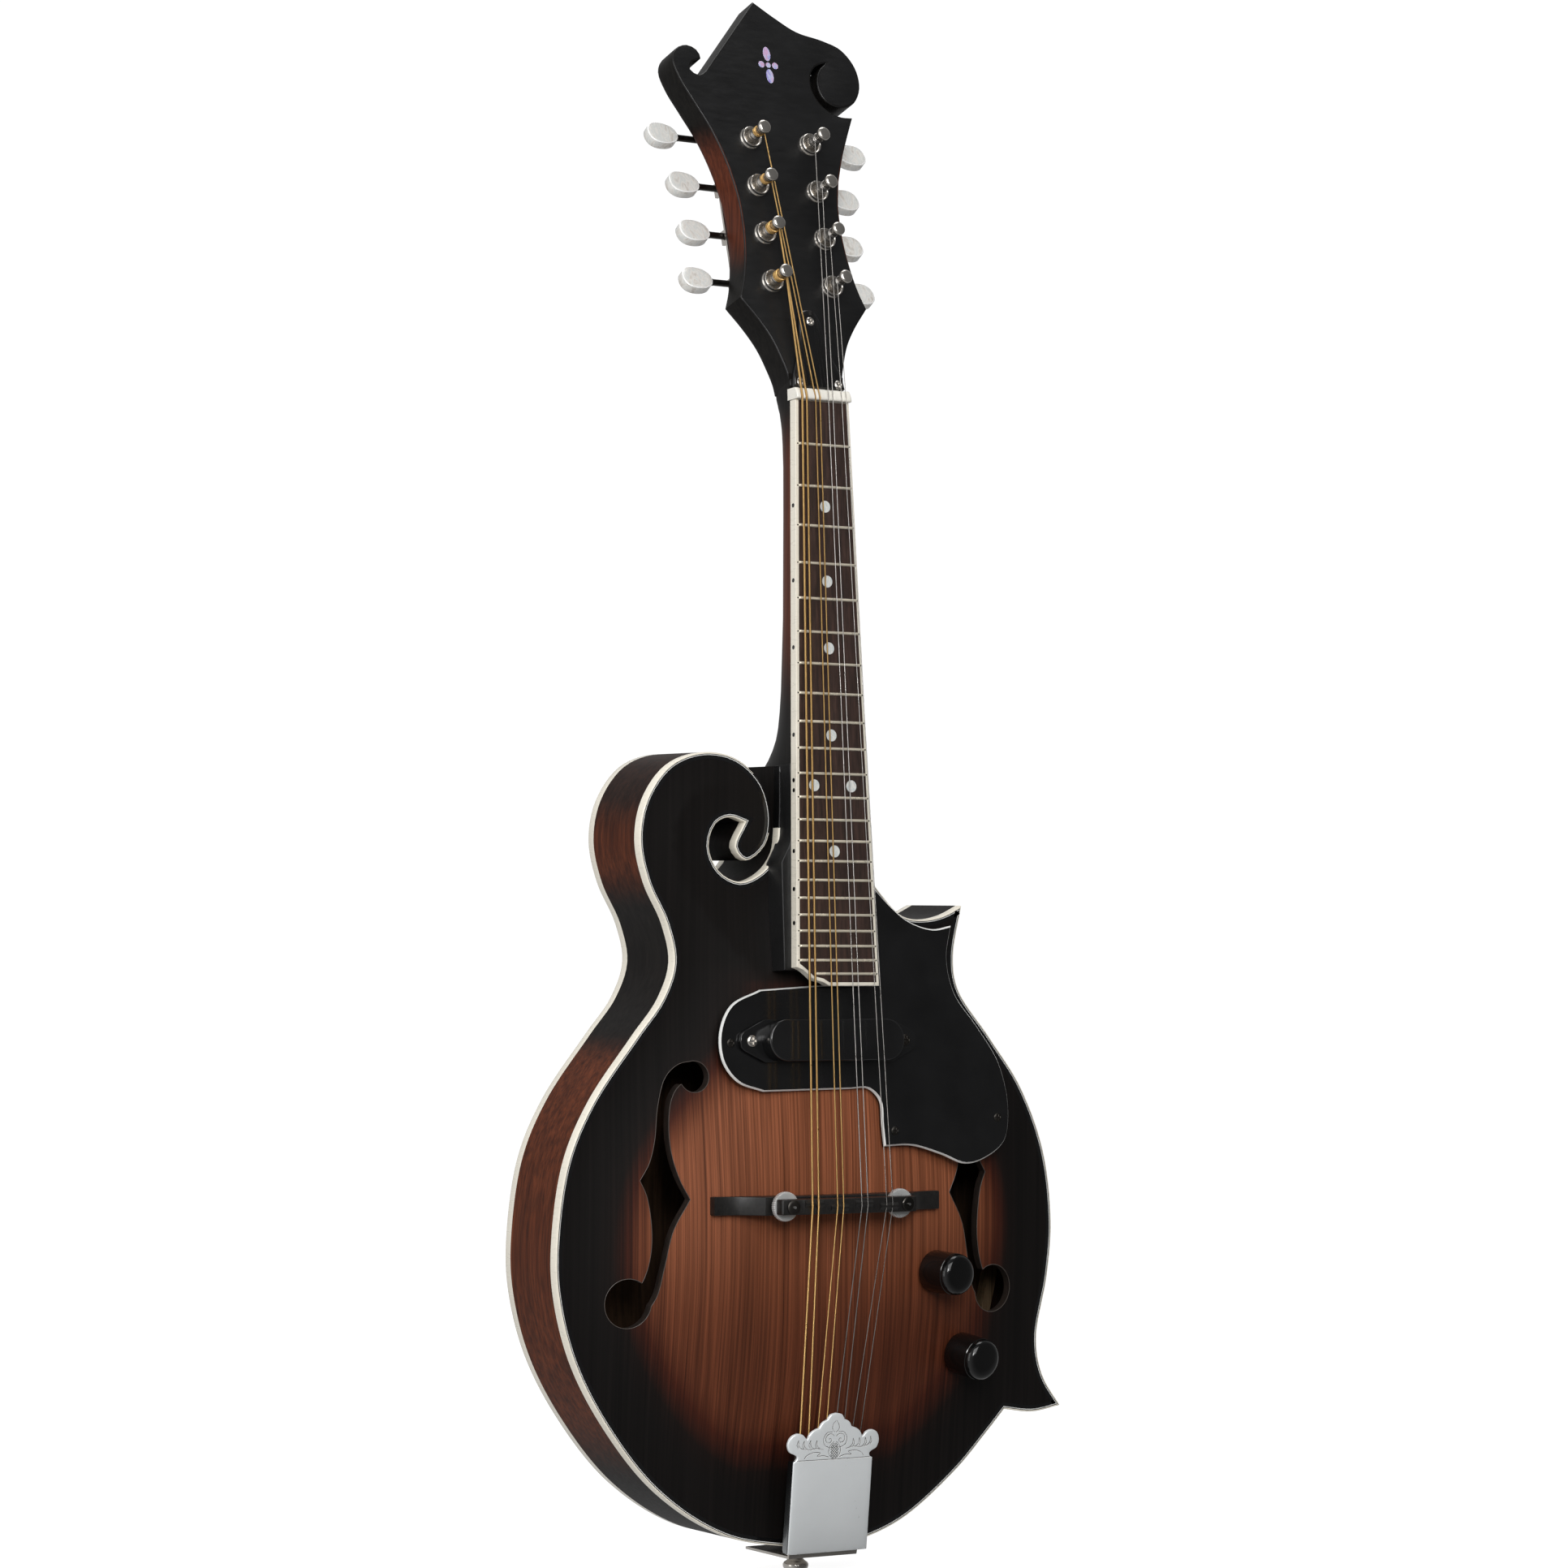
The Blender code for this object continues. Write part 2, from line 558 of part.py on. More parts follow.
def head_outline():
    left = mirrored(HEAD_HALF_OUTLINE)
    return closed_loop(HEAD_HALF_OUTLINE + HEAD_RIGHT_OUTLINE + left + [[(-13.9, 1.5), (13.9, 1.5)]], 9.0)


def make_neck():
    riser = [(-19, -160), (-19, -192), (-24.5, -203), (-24.5, -250), (20.8, -250), (20.8, -160)]
    neck = join(neck_shaft(),
                plate("riser", [riser], -18, -BOARD_THICKNESS - GAP, NECK),
                plate("headstock", [head_outline()], -HEAD_THICKNESS, 0, HEAD))
    body_room = [(250, 6.4), (NECK_END_Z + GAP, 2.8), (NECK_END_Z + GAP, -70), (250, -70)]
    neck = cut(neck,
               plate("body_room", [body_room], -60, 60, SIDE),
               box("nut_seat", (-20, -0.2, -6.3), (20, 5.4, 10), NECK),
               box("rod_channel", (-2.9, -150, -13.8), (2.9, 6, 0), NECK),
               box("adjuster_pocket", (-5.5, -2, -11), (5.5, 24, 2), HEAD))
    holes = [rod("post_hole", 3.5, (x, y, 2), (x, y, -HEAD_THICKNESS - 2), HEAD, 10)
             for x, y in post_places()]
    finish(cut(neck, *holes), "black_satin")


def make_truss_rod():
    depth = -10.4
    finish(rod("truss_rod", 2.4, (0, -148, depth), (0, 8.2, depth), NECK, 10), "steel")
    finish(rod("truss_rod_nut", 3.3, (0, 8.6, depth), (0, 17, depth), NECK, 6), "steel")
    half = [(0, 38), (3.4, 36.8), (5.4, 33), (6.6, 25), (9.4, 15), (12.6, 6), (13.2, 0.8)]
    outline = [(-x, y) for x, y in half[::-1]] + half[1:]
    finish(plate("truss_rod_cover", [outline], GAP, 2.2, HEAD), "gloss_black")


def make_nut():
    section = [(0.1, -6), (5.1, -6), (5.1, -0.3), (0.1, 1.0)]
    along_x = Matrix(((0, 0, 1, 0), (1, 0, 0, 0), (0, 1, 0, 0), (0, 0, 0, 1)))
    side = frame_at("nut_side", NECK.matrix_world @ along_x)
    finish(plate("nut", [section], -14.2, 14.2, side), "bone")


def board_outline(margin):
    """Fretboard outline, moved in by a margin; the foot of the scale is at the treble side."""
    start = -0.2 if margin == 0 else -0.25
    near, far = board_half_width(0) - margin, BOARD_END_HALF_WIDTH - margin
    tail = [(x, y + margin) for x, y in BOARD_TAIL]
    tail[-1] = (tail[-1][0] + margin, tail[-1][1] + margin)
    return [(near, start), (far, BOARD_END + margin)] + tail + [(-near, start)]


def make_fretboard():
    board = plate("fretboard", [board_outline(BINDING_WIDTH + GAP)], -BOARD_THICKNESS, 0, NECK)
    frets = []
    for number in range(1, FRETS + 1):
        up = -SCALE_LENGTH * (1 - 2 ** (-number / 12))
        half = board_half_width(up) - BINDING_WIDTH - 0.8
        left = -half if number < FRETS else -12.0
        frets.append(box(f"fret_{number}", (left, up - 0.9, -1.0), (half, up + 0.9, 0.9), NECK))
    finish(join(board, *frets), "rosewood")
    outer, inner = board_outline(0), board_outline(BINDING_WIDTH)
    finish(plate("fretboard_binding", [outer + inner[::-1]], -BOARD_THICKNESS, 0, NECK), "cream_binding")


# Tuners

def post_places():
    return [(side * POST_HALF_SPACING, FIRST_POST + POST_PITCH * row) for side in (-1, 1) for row in range(4)]


def make_tuner_plate(label, side):
    """Stamped plate behind the headstock, with two bearing tabs for each worm shaft."""
    back = -HEAD_THICKNESS - GAP
    xs = sorted((side * 9.0, side * 25.5))
    piece = box(f"tuner_plate_{label}", (xs[0], FIRST_POST - 6, back - 1.2),
                (xs[1], FIRST_POST + 82, back), HEAD)
    tabs, bores = [], []
    for row in range(4):
        y = FIRST_POST + POST_PITCH * row
        bores.append(rod("post_bore", 3.5, (side * POST_HALF_SPACING, y, back - 5),
                         (side * POST_HALF_SPACING, y, back + 5), HEAD, 10))
        worm = y + WORM_OFFSET
        for x in (10.2, 22.4):
            ends = sorted((side * x, side * (x + 1.6)))
            tabs.append(box("tab", (ends[0], worm - 3.2, -WORM_DEPTH - 3),
                            (ends[1], worm + 3.2, back - 0.6), HEAD))
        bores.append(rod("worm_bore", 1.75, (side * 5, worm, -WORM_DEPTH),
                         (side * 30, worm, -WORM_DEPTH), HEAD, 8))
    finish(cut(join(piece, *tabs), *bores), "chrome")


def gear_outline():
    return [(radius * math.cos(angle), radius * math.sin(angle))
            for tooth in range(GEAR_TEETH)
            for radius, angle in ((GEAR_RADIUS, 2 * math.pi * tooth / GEAR_TEETH),
                                  (GEAR_RADIUS - 0.8, 2 * math.pi * (tooth + 0.5) / GEAR_TEETH))]


def make_post(number, x, y):
    """String post with its gear, turned as one with its own worm."""
    holder = frame_at("post_holder", HEAD.matrix_world @ Matrix.Translation(Vector((x, y, 0)) * MM))
    foot = -WORM_DEPTH - 2.4
    profile = [(0, 13.7), (2.5, 13.7), (3.1, 12.9), (3.1, 11.3), (2.0, 10.0), (2.0, 7.3), (3.0, 5.6),
               (3.0, foot), (0, foot)]
    post = turned(f"tuner_post_{number}", profile, holder, 10)
    gear = plate("gear", [gear_outline()], -WORM_DEPTH - 1.7, -WORM_DEPTH + 1.7, holder)
    finish(join(post, gear), "chrome")
    bpy.data.objects.remove(holder, do_unlink=True)


def make_button(number, x, y, reach):
    """Worm shaft with its oval button, whose face is turned up."""
    side = 1 if x > 0 else -1
    worm = y + WORM_OFFSET
    shaft = rod(f"tuner_button_{number}", 1.4, (side * 9.4, worm, -WORM_DEPTH),
                (side * (reach - 2), worm, -WORM_DEPTH), HEAD, 8)
    thread = rod("thread", WORM_RADIUS, (side * 12.4, worm, -WORM_DEPTH),
                 (side * 21.8, worm, -WORM_DEPTH), HEAD, 10)
    half_length, half_width, half_thickness = 7.5, 5.8, 2.3
    oval = [(half_length * math.copysign(abs(math.cos(a)) ** 0.85, math.cos(a)),
             half_width * math.copysign(abs(math.sin(a)) ** 0.85, math.sin(a)))
            for a in np.linspace(0, 2 * math.pi, 14, endpoint=False)]
    place = Matrix.Translation(Vector((side * reach, worm, -WORM_DEPTH)) * MM)
    turn = Matrix.Rotation(math.radians(-BUTTON_REST_TURN), 4, "X")
    holder = frame_at("button_holder", HEAD.matrix_world @ place @ turn)
    knob = plate("knob", [oval], -half_thickness, half_thickness, holder)
    bevel = knob.modifiers.new("edge", "BEVEL")
    bevel.width = 0.6 * MM
    bevel.segments = 1
    finish(join(shaft, thread, as_mesh(knob)), "pearloid")
    bpy.data.objects.remove(holder, do_unlink=True)


def make_tuners():
    for label, side in (("bass", -1), ("treble", 1)):
        make_tuner_plate(label, side)
    for number, (x, y) in enumerate(post_places(), 1):
        make_post(number, x, y)
        make_button(number, x, y, BUTTON_CENTRE[(number - 1) % 4])


# Bridge

def make_bridge():
    xs = np.linspace(-58, 58, 17)
    foot = [(x, top_arch(x, BRIDGE_Z) + (0.5 if abs(x) > 18 else 2.2)) for x in xs]
    crown = [(58, 13.2), (53, 13.3), (47, 14.6), (41, 18.4), (37.5, 21.7)]
    base = plate("bridge_base", [foot + crown + [(-x, h) for x, h in crown[::-1]]], -4, 4, BRIDGE)
    wells = [rod("well", 1.75, (x, 14, 0), (x, 24, 0), BRIDGE, 10) for x in (-STUD_X, STUD_X)]
    finish(cut(base, *wells), "ebony")
    saddle_top = STRING_OVER_BRIDGE - 0.9
    crest = [(34.6, 26.1), (34.6, 30.4), (32.5, 31.2), (26, 31.3), (23, saddle_top)]
    saddle = plate("bridge_saddle", [crest + [(-x, h) for x, h in crest[::-1]]], -3.3, 3.3, BRIDGE)
    wells = [rod("well", 1.75, (x, 20, 0), (x, 36, 0), BRIDGE, 10) for x in (-STUD_X, STUD_X)]
    finish(cut(saddle, *wells), "ebony")
    for label, x in (("bass", -STUD_X), ("treble", STUD_X)):
        finish(rod(f"bridge_stud_{label}", 1.35, (x, 14.3, 0), (x, 32.6, 0), BRIDGE, 10), "steel")
        wheel = rod(f"bridge_wheel_{label}", WHEEL_RADIUS, (x, 23.4, 0), (x, 25.8, 0), BRIDGE, 24)
        bore = rod("bore", 1.75, (x, 20, 0), (x, 30, 0), BRIDGE, 10)
        finish(cut(wheel, bore), "chrome")


# Electrics

def racetrack(half_length, half_width, count=8):
    flat = half_length - half_width
    return [(math.copysign(flat, math.cos(a)) + half_width * math.cos(a), PICKUP_Y + half_width * math.sin(a))
            for a in [math.pi * (i + 0.5) / count - math.pi / 2 for i in range(2 * count)]]


def make_pickguard_and_pickup():
    finish(plate("pickguard", [closed_loop(PICKGUARD_OUTLINE, 9.0)], -2.2, 0, GUARD), "gloss_black")
    ears = [(45, -3.5), (45, 3.5), (33, 9.6), (-33, 9.6), (-45, 3.5), (-45, -3.5), (-33, -9.6), (33, -9.6)]
    base = plate("pickup", [[(x, PICKUP_Y + y) for x, y in ears]], GAP, 2.2, GUARD)
    cover = plate("pickup_cover", [racetrack(PICKUP_HALF_LENGTH, PICKUP_HALF_WIDTH)], 1.0, 9.5, GUARD)
    finish(join(base, cover), "gloss_black")


def make_controls():
    for name, frame in KNOB_FRAMES.items():
        can = turned(f"pot_{name}", [(0, -7.2), (8, -7.2), (8, -16), (0, -16)], frame, 16)
        bore = rod("shaft_bore", 3.4, (0, 0, -13), (0, 0, 0), frame)
        finish(cut(can, bore), "steel")
        profile = [(0, KNOB_HEIGHT), (5.6, KNOB_HEIGHT - 0.3), (8.1, KNOB_HEIGHT - 1.4),
                   (9.2, KNOB_HEIGHT - 3.4),
                   (9.3, 1.4), (3.0, 1.4), (3.0, -12.5), (0, -12.5)]
        finish(turned(f"knob_{name}", profile, frame, 20), "gloss_black")
    mid = Vector((128.6 * MM, (SOUNDBOARD_Y + BODY_DEPTH / 2) * MM, JACK_Z * MM))
    holder = frame_at("jack_holder", axis_frame(mid, (1, 0, 0)))
    body = [(0, 2), (11, 2), (11, 0.5), (5.8, 0.5), (5.8, -24), (0, -24)]
    jack = turned("output_jack", body, holder, 20)
    socket = rod("socket", 3.3, (0, 0, -20), (0, 0, 4), holder, 16)
    finish(cut(jack, socket), "chrome")


# Tail end

def make_tail():
    outside = [(57, 16.6), (12.4, 12.4), (8.8, 11.4), (8.8, -24)]
    inside = [(9.9, -24), (9.9, 10.4), (12.6, 11.2), (57, 15.4)]
    base = plate("tailpiece_base", [outside + inside], -17.5, 17.5, SIDE)
    hole = rod("peg_clearance", 3.4, (0, 5, SOUNDBOARD_Y), (0, 14, SOUNDBOARD_Y), BODY)
    finish(cut(base, hole), "steel")
    half = TAILPIECE_WIDTH / 2
    crest = TAILPIECE_HALF_CREST + [(-x, y) for x, y in TAILPIECE_HALF_CREST[-2::-1]]
    outline = [(half, 0), (half, 41)] + crest + [(-half, 41), (-half, 0)]
    cover = plate("tailpiece_cover", [outline], 0, 1.2, TAIL)
    walls = [box("wall", (min(side * half, side * (half - 1.2)), 0, -4.2),
                 (max(side * half, side * (half - 1.2)), 41, 0.6), TAIL) for side in (-1, 1)]
    finish(join(cover, *walls), "chrome")
    profile = [(0, 42), (2.9, 42), (2.9, 8.4), (4.6, 8.2), (3.2, 6.0), (5.0, 4.0), (5.6, 2.5), (5.2, 0.8),
               (4.2, 0), (0, 0)]
    finish(turned("strap_button", profile, BUTTON, 20), "chrome")


# Strings

def string_courses():
    """Name, radius and side-to-side places of the eight strings, bass first."""
    courses = [("g", -10.35, -19.2), ("d", -3.4, -6.3), ("a", 3.4, 6.3), ("e", 10.35, 19.2)]
    strings = []
    for name, at_nut, at_bridge in courses:
        for half in (-1, 1):
            strings.append((STRING_RADIUS[name], at_nut + half * 1.15, at_bridge + half * 1.55))
    return strings


def make_strings():
    posts = {1: (-1, 0), 2: (-1, 1), 3: (-1, 2), 4: (-1, 3), 5: (1, 3), 6: (1, 2), 7: (1, 1), 8: (1, 0)}
    for number, (radius, at_nut, at_bridge) in enumerate(string_courses(), 1):
        side, row = posts[number]
        hook = BODY.matrix_world @ (Vector((-15.4 + 4.4 * (number - 1), 58.5, 15.6 + radius)) * MM)
        bridge = BODY.matrix_world @ (Vector((at_bridge, BRIDGE_Z, STRING_OVER_BRIDGE - 0.4 + radius)) * MM)
        nut = NECK.matrix_world @ (Vector((at_nut, 0.4, NUT_STRING_HEIGHT - 0.4 + radius)) * MM)
        beside = POST_HALF_SPACING - 2.0 - GAP - radius
        post = HEAD.matrix_world @ (Vector((side * beside, FIRST_POST + POST_PITCH * row, 8.6)) * MM)
        curve = bpy.data.curves.new(f"string_{number}", "CURVE")
        curve.dimensions = "3D"
        curve.bevel_depth = radius * MM
        curve.bevel_resolution = 1
        curve.use_fill_caps = True
        spline = curve.splines.new("POLY")
        spline.points.add(3)
        for point, place in zip(spline.points, (hook, bridge, nut, post)):
            point.co = (*place, 1)
        piece = as_mesh(add(f"string_{number}", curve, None))
        finish(piece, "bronze" if number <= 4 else "steel")


make_soundboard()
make_back()
rim_span = make_sides()
make_inside(*rim_span)
make_neck()
make_truss_rod()
make_nut()
make_fretboard()
make_tuners()
make_bridge()
make_pickguard_and_pickup()
make_controls()
make_tail()
make_strings()
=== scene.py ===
"""Looks of the scroll-body mandolin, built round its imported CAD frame.

Sizes in this file are millimetres, and MM turns them into metres.  In each frame local X is the
instrument's X, local Y runs up the instrument and local Z is the height out of the named face.
"""
import math

import bmesh
import bpy
import numpy as np
from mathutils import Matrix, Vector
from mathutils.geometry import delaunay_2d_cdt


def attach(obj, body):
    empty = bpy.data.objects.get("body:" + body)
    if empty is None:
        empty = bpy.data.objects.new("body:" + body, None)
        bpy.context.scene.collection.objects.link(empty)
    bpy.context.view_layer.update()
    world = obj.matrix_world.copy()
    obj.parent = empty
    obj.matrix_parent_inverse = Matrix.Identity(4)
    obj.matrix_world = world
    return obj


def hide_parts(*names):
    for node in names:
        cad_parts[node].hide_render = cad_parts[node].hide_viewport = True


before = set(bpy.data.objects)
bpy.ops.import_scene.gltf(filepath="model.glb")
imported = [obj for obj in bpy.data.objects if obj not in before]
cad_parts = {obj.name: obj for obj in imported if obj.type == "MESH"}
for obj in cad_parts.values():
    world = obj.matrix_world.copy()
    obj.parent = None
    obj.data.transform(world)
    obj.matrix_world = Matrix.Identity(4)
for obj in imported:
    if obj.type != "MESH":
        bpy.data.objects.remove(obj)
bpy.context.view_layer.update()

MM = 0.001

# Driving dimensions, as in the CAD model
SCALE_LENGTH = 350.0
BRIDGE_Z = 162.0
SOUNDBOARD_Y = -10.5
BODY_DEPTH = 44.8
PLATE_THICKNESS = 4.5
RIM_THICKNESS = 3.0
BINDING_WIDTH = 1.5
BINDING_DEPTH = 4.8
PURFLING_WIDTH = 1.5
TOP_ARCH = 12.3
BACK_ARCH = 9.0
BOARD_OVER_BRIDGE = 25.8
NECK_TILT = 4.0
HEAD_TILT = 12.5
HEAD_THICKNESS = 15.2
POCKET_DEPTH = 11.0           # of the truss rod nut's pocket in the headstock
BOARD_THICKNESS = 4.5
NUT_HALF_WIDTH = 13.9
BOARD_END_HALF_WIDTH = 21.3
BOARD_END = -257.0
FRETS = 22
NECK_END_Z = 352.0
STRING_OVER_BRIDGE = 32.8
NUT_STRING_HEIGHT = 1.8
GUARD_UNDER_STRINGS = 16.5
STRING_RADIUS = [0.5, 0.5, 0.33, 0.33, 0.22, 0.22, 0.17, 0.17]
COURSES = [(-10.35, -19.2), (-3.4, -6.3), (3.4, 6.3), (10.35, 19.2)]    # X at the nut and the bridge
STRING_POSTS = [0, 1, 2, 3, 7, 6, 5, 4]
WINDING_PITCH = 0.28
POST_HALF_SPACING = 15.6
POST_PITCH = 23.05
FIRST_POST = 50.6
WORM_OFFSET = 6.15
POST_WAIST = 1.95
WRAP_TURNS = 3.1
POST_STRING = 8.6             # height at which the strings meet their posts
WORM_DEPTH = 19.0
BUTTON_CENTRE = [42.8, 40.6, 42.4, 49.9]
BUTTON_REST_TURN = 16.0
STUD_X = 29.4
WHEEL_RADIUS = 6.4
BRIDGE_HALF_LENGTH = 58.0
PICKUP_Y = 70.7
PICKUP_HALF_SIZE = (34.7, 9.2)
KNOB_PLACES = {"volume": (57.0, 130.5), "tone": (74.8, 93.4)}
KNOB_HEIGHT = 20.0
KNOB_RADIUS = 9.3
COVER_HALF_WIDTH = 20.3
BUTTON_HALF_SIZE = (7.6, 5.9)
FRET_HALF_WIDTH = 0.62
SIDE_DOT_FRETS = (3, 5, 7, 10, 12, 15, 17, 19)
FACE_DOT_FRETS = SIDE_DOT_FRETS[:6]
GUARD_SCREWS = ((-49, 70), (89, 36), (34, 31), (24, 132))
TRUSS_COVER_SCREWS = ((0, 32), (-9.8, 2.6), (9.8, 2.6))
JACK_Z = 146.0

# Outlines, as runs of points.  A run is smooth, and runs meet at corners.
BODY_OUTLINE = [
    [(0, 10.6), (-42, 18.7), (-76, 39.2), (-102, 68.5), (-118.8, 97.5), (-127, 127), (-127.6, 150),
     (-122.5, 182), (-111, 206.5), (-90, 234.2), (-77.2, 250.5), (-71.7, 266), (-75.5, 282.5),
     (-85, 300.5), (-89.4, 318.5), (-86.1, 336), (-74.5, 351), (-57.5, 357), (-40.5, 354.2),
     (-28.2, 343.8), (-23.6, 329), (-26.4, 317), (-36, 310.5), (-41.7, 316.3), (-36.7, 327.2)],
    [(-36.7, 327.2), (-44.4, 329.2), (-51.4, 326.2), (-54.8, 316.5), (-49.8, 306), (-38.9, 301.2),
     (-27.5, 305.6), (-20.8, 314), (-19.3, 325), (-19.3, NECK_END_Z)],
    [(-19.3, NECK_END_Z), (19.3, NECK_END_Z)],
    [(19.3, NECK_END_Z), (19.8, 326), (24.5, 309.5), (36.3, 295), (46, 287), (57, 285.6),
     (68, 287.6), (77.6, 292)],
    [(77.6, 292), (73.4, 269), (76, 255), (93.6, 233), (110.7, 210.8), (123.5, 182), (128.3, 150),
     (126.5, 126), (120.8, 97), (124.3, 80.8), (134.2, 66.5)],
    [(134.2, 66.5), (119, 64.3), (103.5, 66.2)],
    [(103.5, 66.2), (93.2, 55.6), (77.3, 40.4), (49, 20.7), (24.3, 12.5), (0, 10.6)],
]
HEAD_HALF_OUTLINE = [
    [(13.9, 1.5), (14.4, 7), (16.4, 14), (19.8, 23), (25, 31.5), (33.1, 41.8)],
    [(33.1, 41.8), (30.2, 50), (27.8, 61), (26.3, 75), (26.6, 90), (29, 103.5)],
]
HEAD_RIGHT_OUTLINE = [
    [(29, 103.5), (33.4, 116.5), (38, 127.5), (42, 136.4)],
    [(42, 136.4), (36, 136.2), (30.3, 137.8), (25.2, 142), (22.2, 148), (22.6, 155), (26, 160),
     (32, 162.6)],
    [(32, 162.6), (27.6, 158.3), (25.4, 151.5), (27, 145), (32, 141.4), (38, 141), (44.2, 144),
     (48.6, 152), (47.8, 162), (41.5, 170.3), (32, 173.8), (18.5, 176.5), (8, 182), (-2.7, 188.7)],
    [(-2.7, 188.7), (-33.8, 150.6)],
    [(-33.8, 150.6), (-37.4, 148.6), (-41.4, 150.8), (-40, 154.4), (-35, 156.8), (-36.6, 161),
     (-41.5, 162.8), (-47.5, 160.2), (-50.2, 154.5), (-47.8, 145.5), (-42.5, 135.5), (-36, 123.6),
     (-31.6, 112.5), (-29, 103.5)],
]
F_HOLE_TOP_EYE = (-62.8, 217.2, 6.8)
F_HOLE_BOTTOM_EYE = (-94.2, 121.0, 10.6)
F_HOLE_ARM = [
    [(-62.8, 224), (-70, 222.6), (-76.2, 217.2), (-80.2, 205), (-82.2, 190), (-85, 180.4),
     (-89.3, 173.2)],
    [(-89.3, 173.2), (-86.3, 166.5), (-84.1, 152), (-84.6, 141), (-87.5, 131), (-94, 121)],
    [(-94, 121), (-86, 116.5)],
    [(-86, 116.5), (-81.4, 123.5), (-78.3, 136), (-74.5, 151.5), (-66.9, 164.9)],
    [(-66.9, 164.9), (-71.2, 173), (-74.6, 184), (-75.5, 196), (-73.6, 208), (-69.6, 213.6),
     (-63, 216)],
    [(-63, 216), (-62.8, 224)],
]
PICKGUARD_OUTLINE = [
    [(21.9, 96.5), (21.9, 144)],
    [(21.9, 144), (27, 138.8), (36.9, 129.3), (45.2, 123.5), (57.9, 119.9), (68.2, 121.5)],
    [(68.2, 121.5), (65.2, 106.9), (68.6, 91.5), (80.4, 76.3), (91.2, 60), (95.4, 41), (92.7, 25.8),
     (82.1, 18.2), (71, 15.8), (58.2, 20.2), (43, 24.3), (28.4, 24.2)],
    [(28.4, 24.2), (27.6, 34), (26.8, 44.4), (21, 49.6), (12, 49.6)],
    [(12, 49.6), (-33, 48.9)],
    [(-33, 48.9), (-45.8, 53.2), (-53, 62), (-54, 74.5), (-48, 86.2), (-33, 93)],
    [(-33, 93), (21.9, 96.5)],
]
BOARD_TAIL = [(-4.6, BOARD_END), (-7.5, -255.4), (-12.5, -254.3), (-14.9, -252.2), (-17.8, -250.1),
              (-21.0, -248.9)]
TAILPIECE_HALF_CREST = [
    [(20.3, 40.4), (18.9, 41.2), (18.5, 42.4), (19.6, 43.4), (22.2, 44.6), (23.5, 47.6), (22.4, 51.0),
     (19.4, 52.7), (16.4, 52.1), (14.2, 49.8)],
    [(14.2, 49.8), (12.9, 52.4), (10.6, 54.0), (8.4, 54.7)],
    [(8.4, 54.7), (6.9, 57.0), (4.4, 58.2)],
    [(4.4, 58.2), (3.0, 60.2), (0, 61)],
]
TRUSS_COVER_HALF = [(0, 38), (3.4, 36.8), (5.4, 33), (6.6, 25), (9.4, 15), (12.6, 6), (13.2, 0.8)]


# Frames

def facing(x, y, z, tilt=0.0):
    """Frame whose height axis looks to -Y, leaning back by tilt degrees."""
    place = Matrix.Translation(Vector((x, y, z)) * MM)
    return place @ Matrix.Rotation(math.radians(90.0 - tilt), 4, "X")


def shift(x, y, z):
    return Matrix.Translation(Vector((x, y, z)) * MM)


def axis_frame(origin, axis):
    """Frame with its Z along axis, for turned pieces; the origin is in metres."""
    turn = Vector(axis).normalized().to_track_quat("Z", "Y").to_matrix().to_4x4()
    return Matrix.Translation(Vector(origin)) @ turn


neck_tilt = math.radians(NECK_TILT)
nut_y = SOUNDBOARD_Y - BOARD_OVER_BRIDGE * math.cos(neck_tilt) + SCALE_LENGTH * math.sin(neck_tilt)
nut_z = BRIDGE_Z + BOARD_OVER_BRIDGE * math.sin(neck_tilt) + SCALE_LENGTH * math.cos(neck_tilt)
string_slope = math.degrees(math.atan2(
    STRING_OVER_BRIDGE - (SOUNDBOARD_Y - nut_y) - NUT_STRING_HEIGHT, nut_z - BRIDGE_Z))
WORLD = Matrix.Identity(4)
BODY = facing(0, SOUNDBOARD_Y, 0)
NECK = facing(0, nut_y, nut_z, NECK_TILT)
HEAD = NECK @ shift(0, 5.0, -3.5) @ Matrix.Rotation(math.radians(-HEAD_TILT), 4, "X")
GUARD = facing(0, SOUNDBOARD_Y - STRING_OVER_BRIDGE + GUARD_UNDER_STRINGS, BRIDGE_Z, string_slope)
TAIL = facing(0, SOUNDBOARD_Y - 14.6, 11.3, -5.5)
# Local Y out of the soundboard, local Z down the body, at the bridge line
BRIDGE = shift(0, SOUNDBOARD_Y, BRIDGE_Z) @ Matrix(
    ((1, 0, 0, 0), (0, -1, 0, 0), (0, 0, -1, 0), (0, 0, 0, 1)))
ALONG_X = Matrix(((0, 0, 1, 0), (1, 0, 0, 0), (0, 1, 0, 0), (0, 0, 0, 1)))


# Outlines

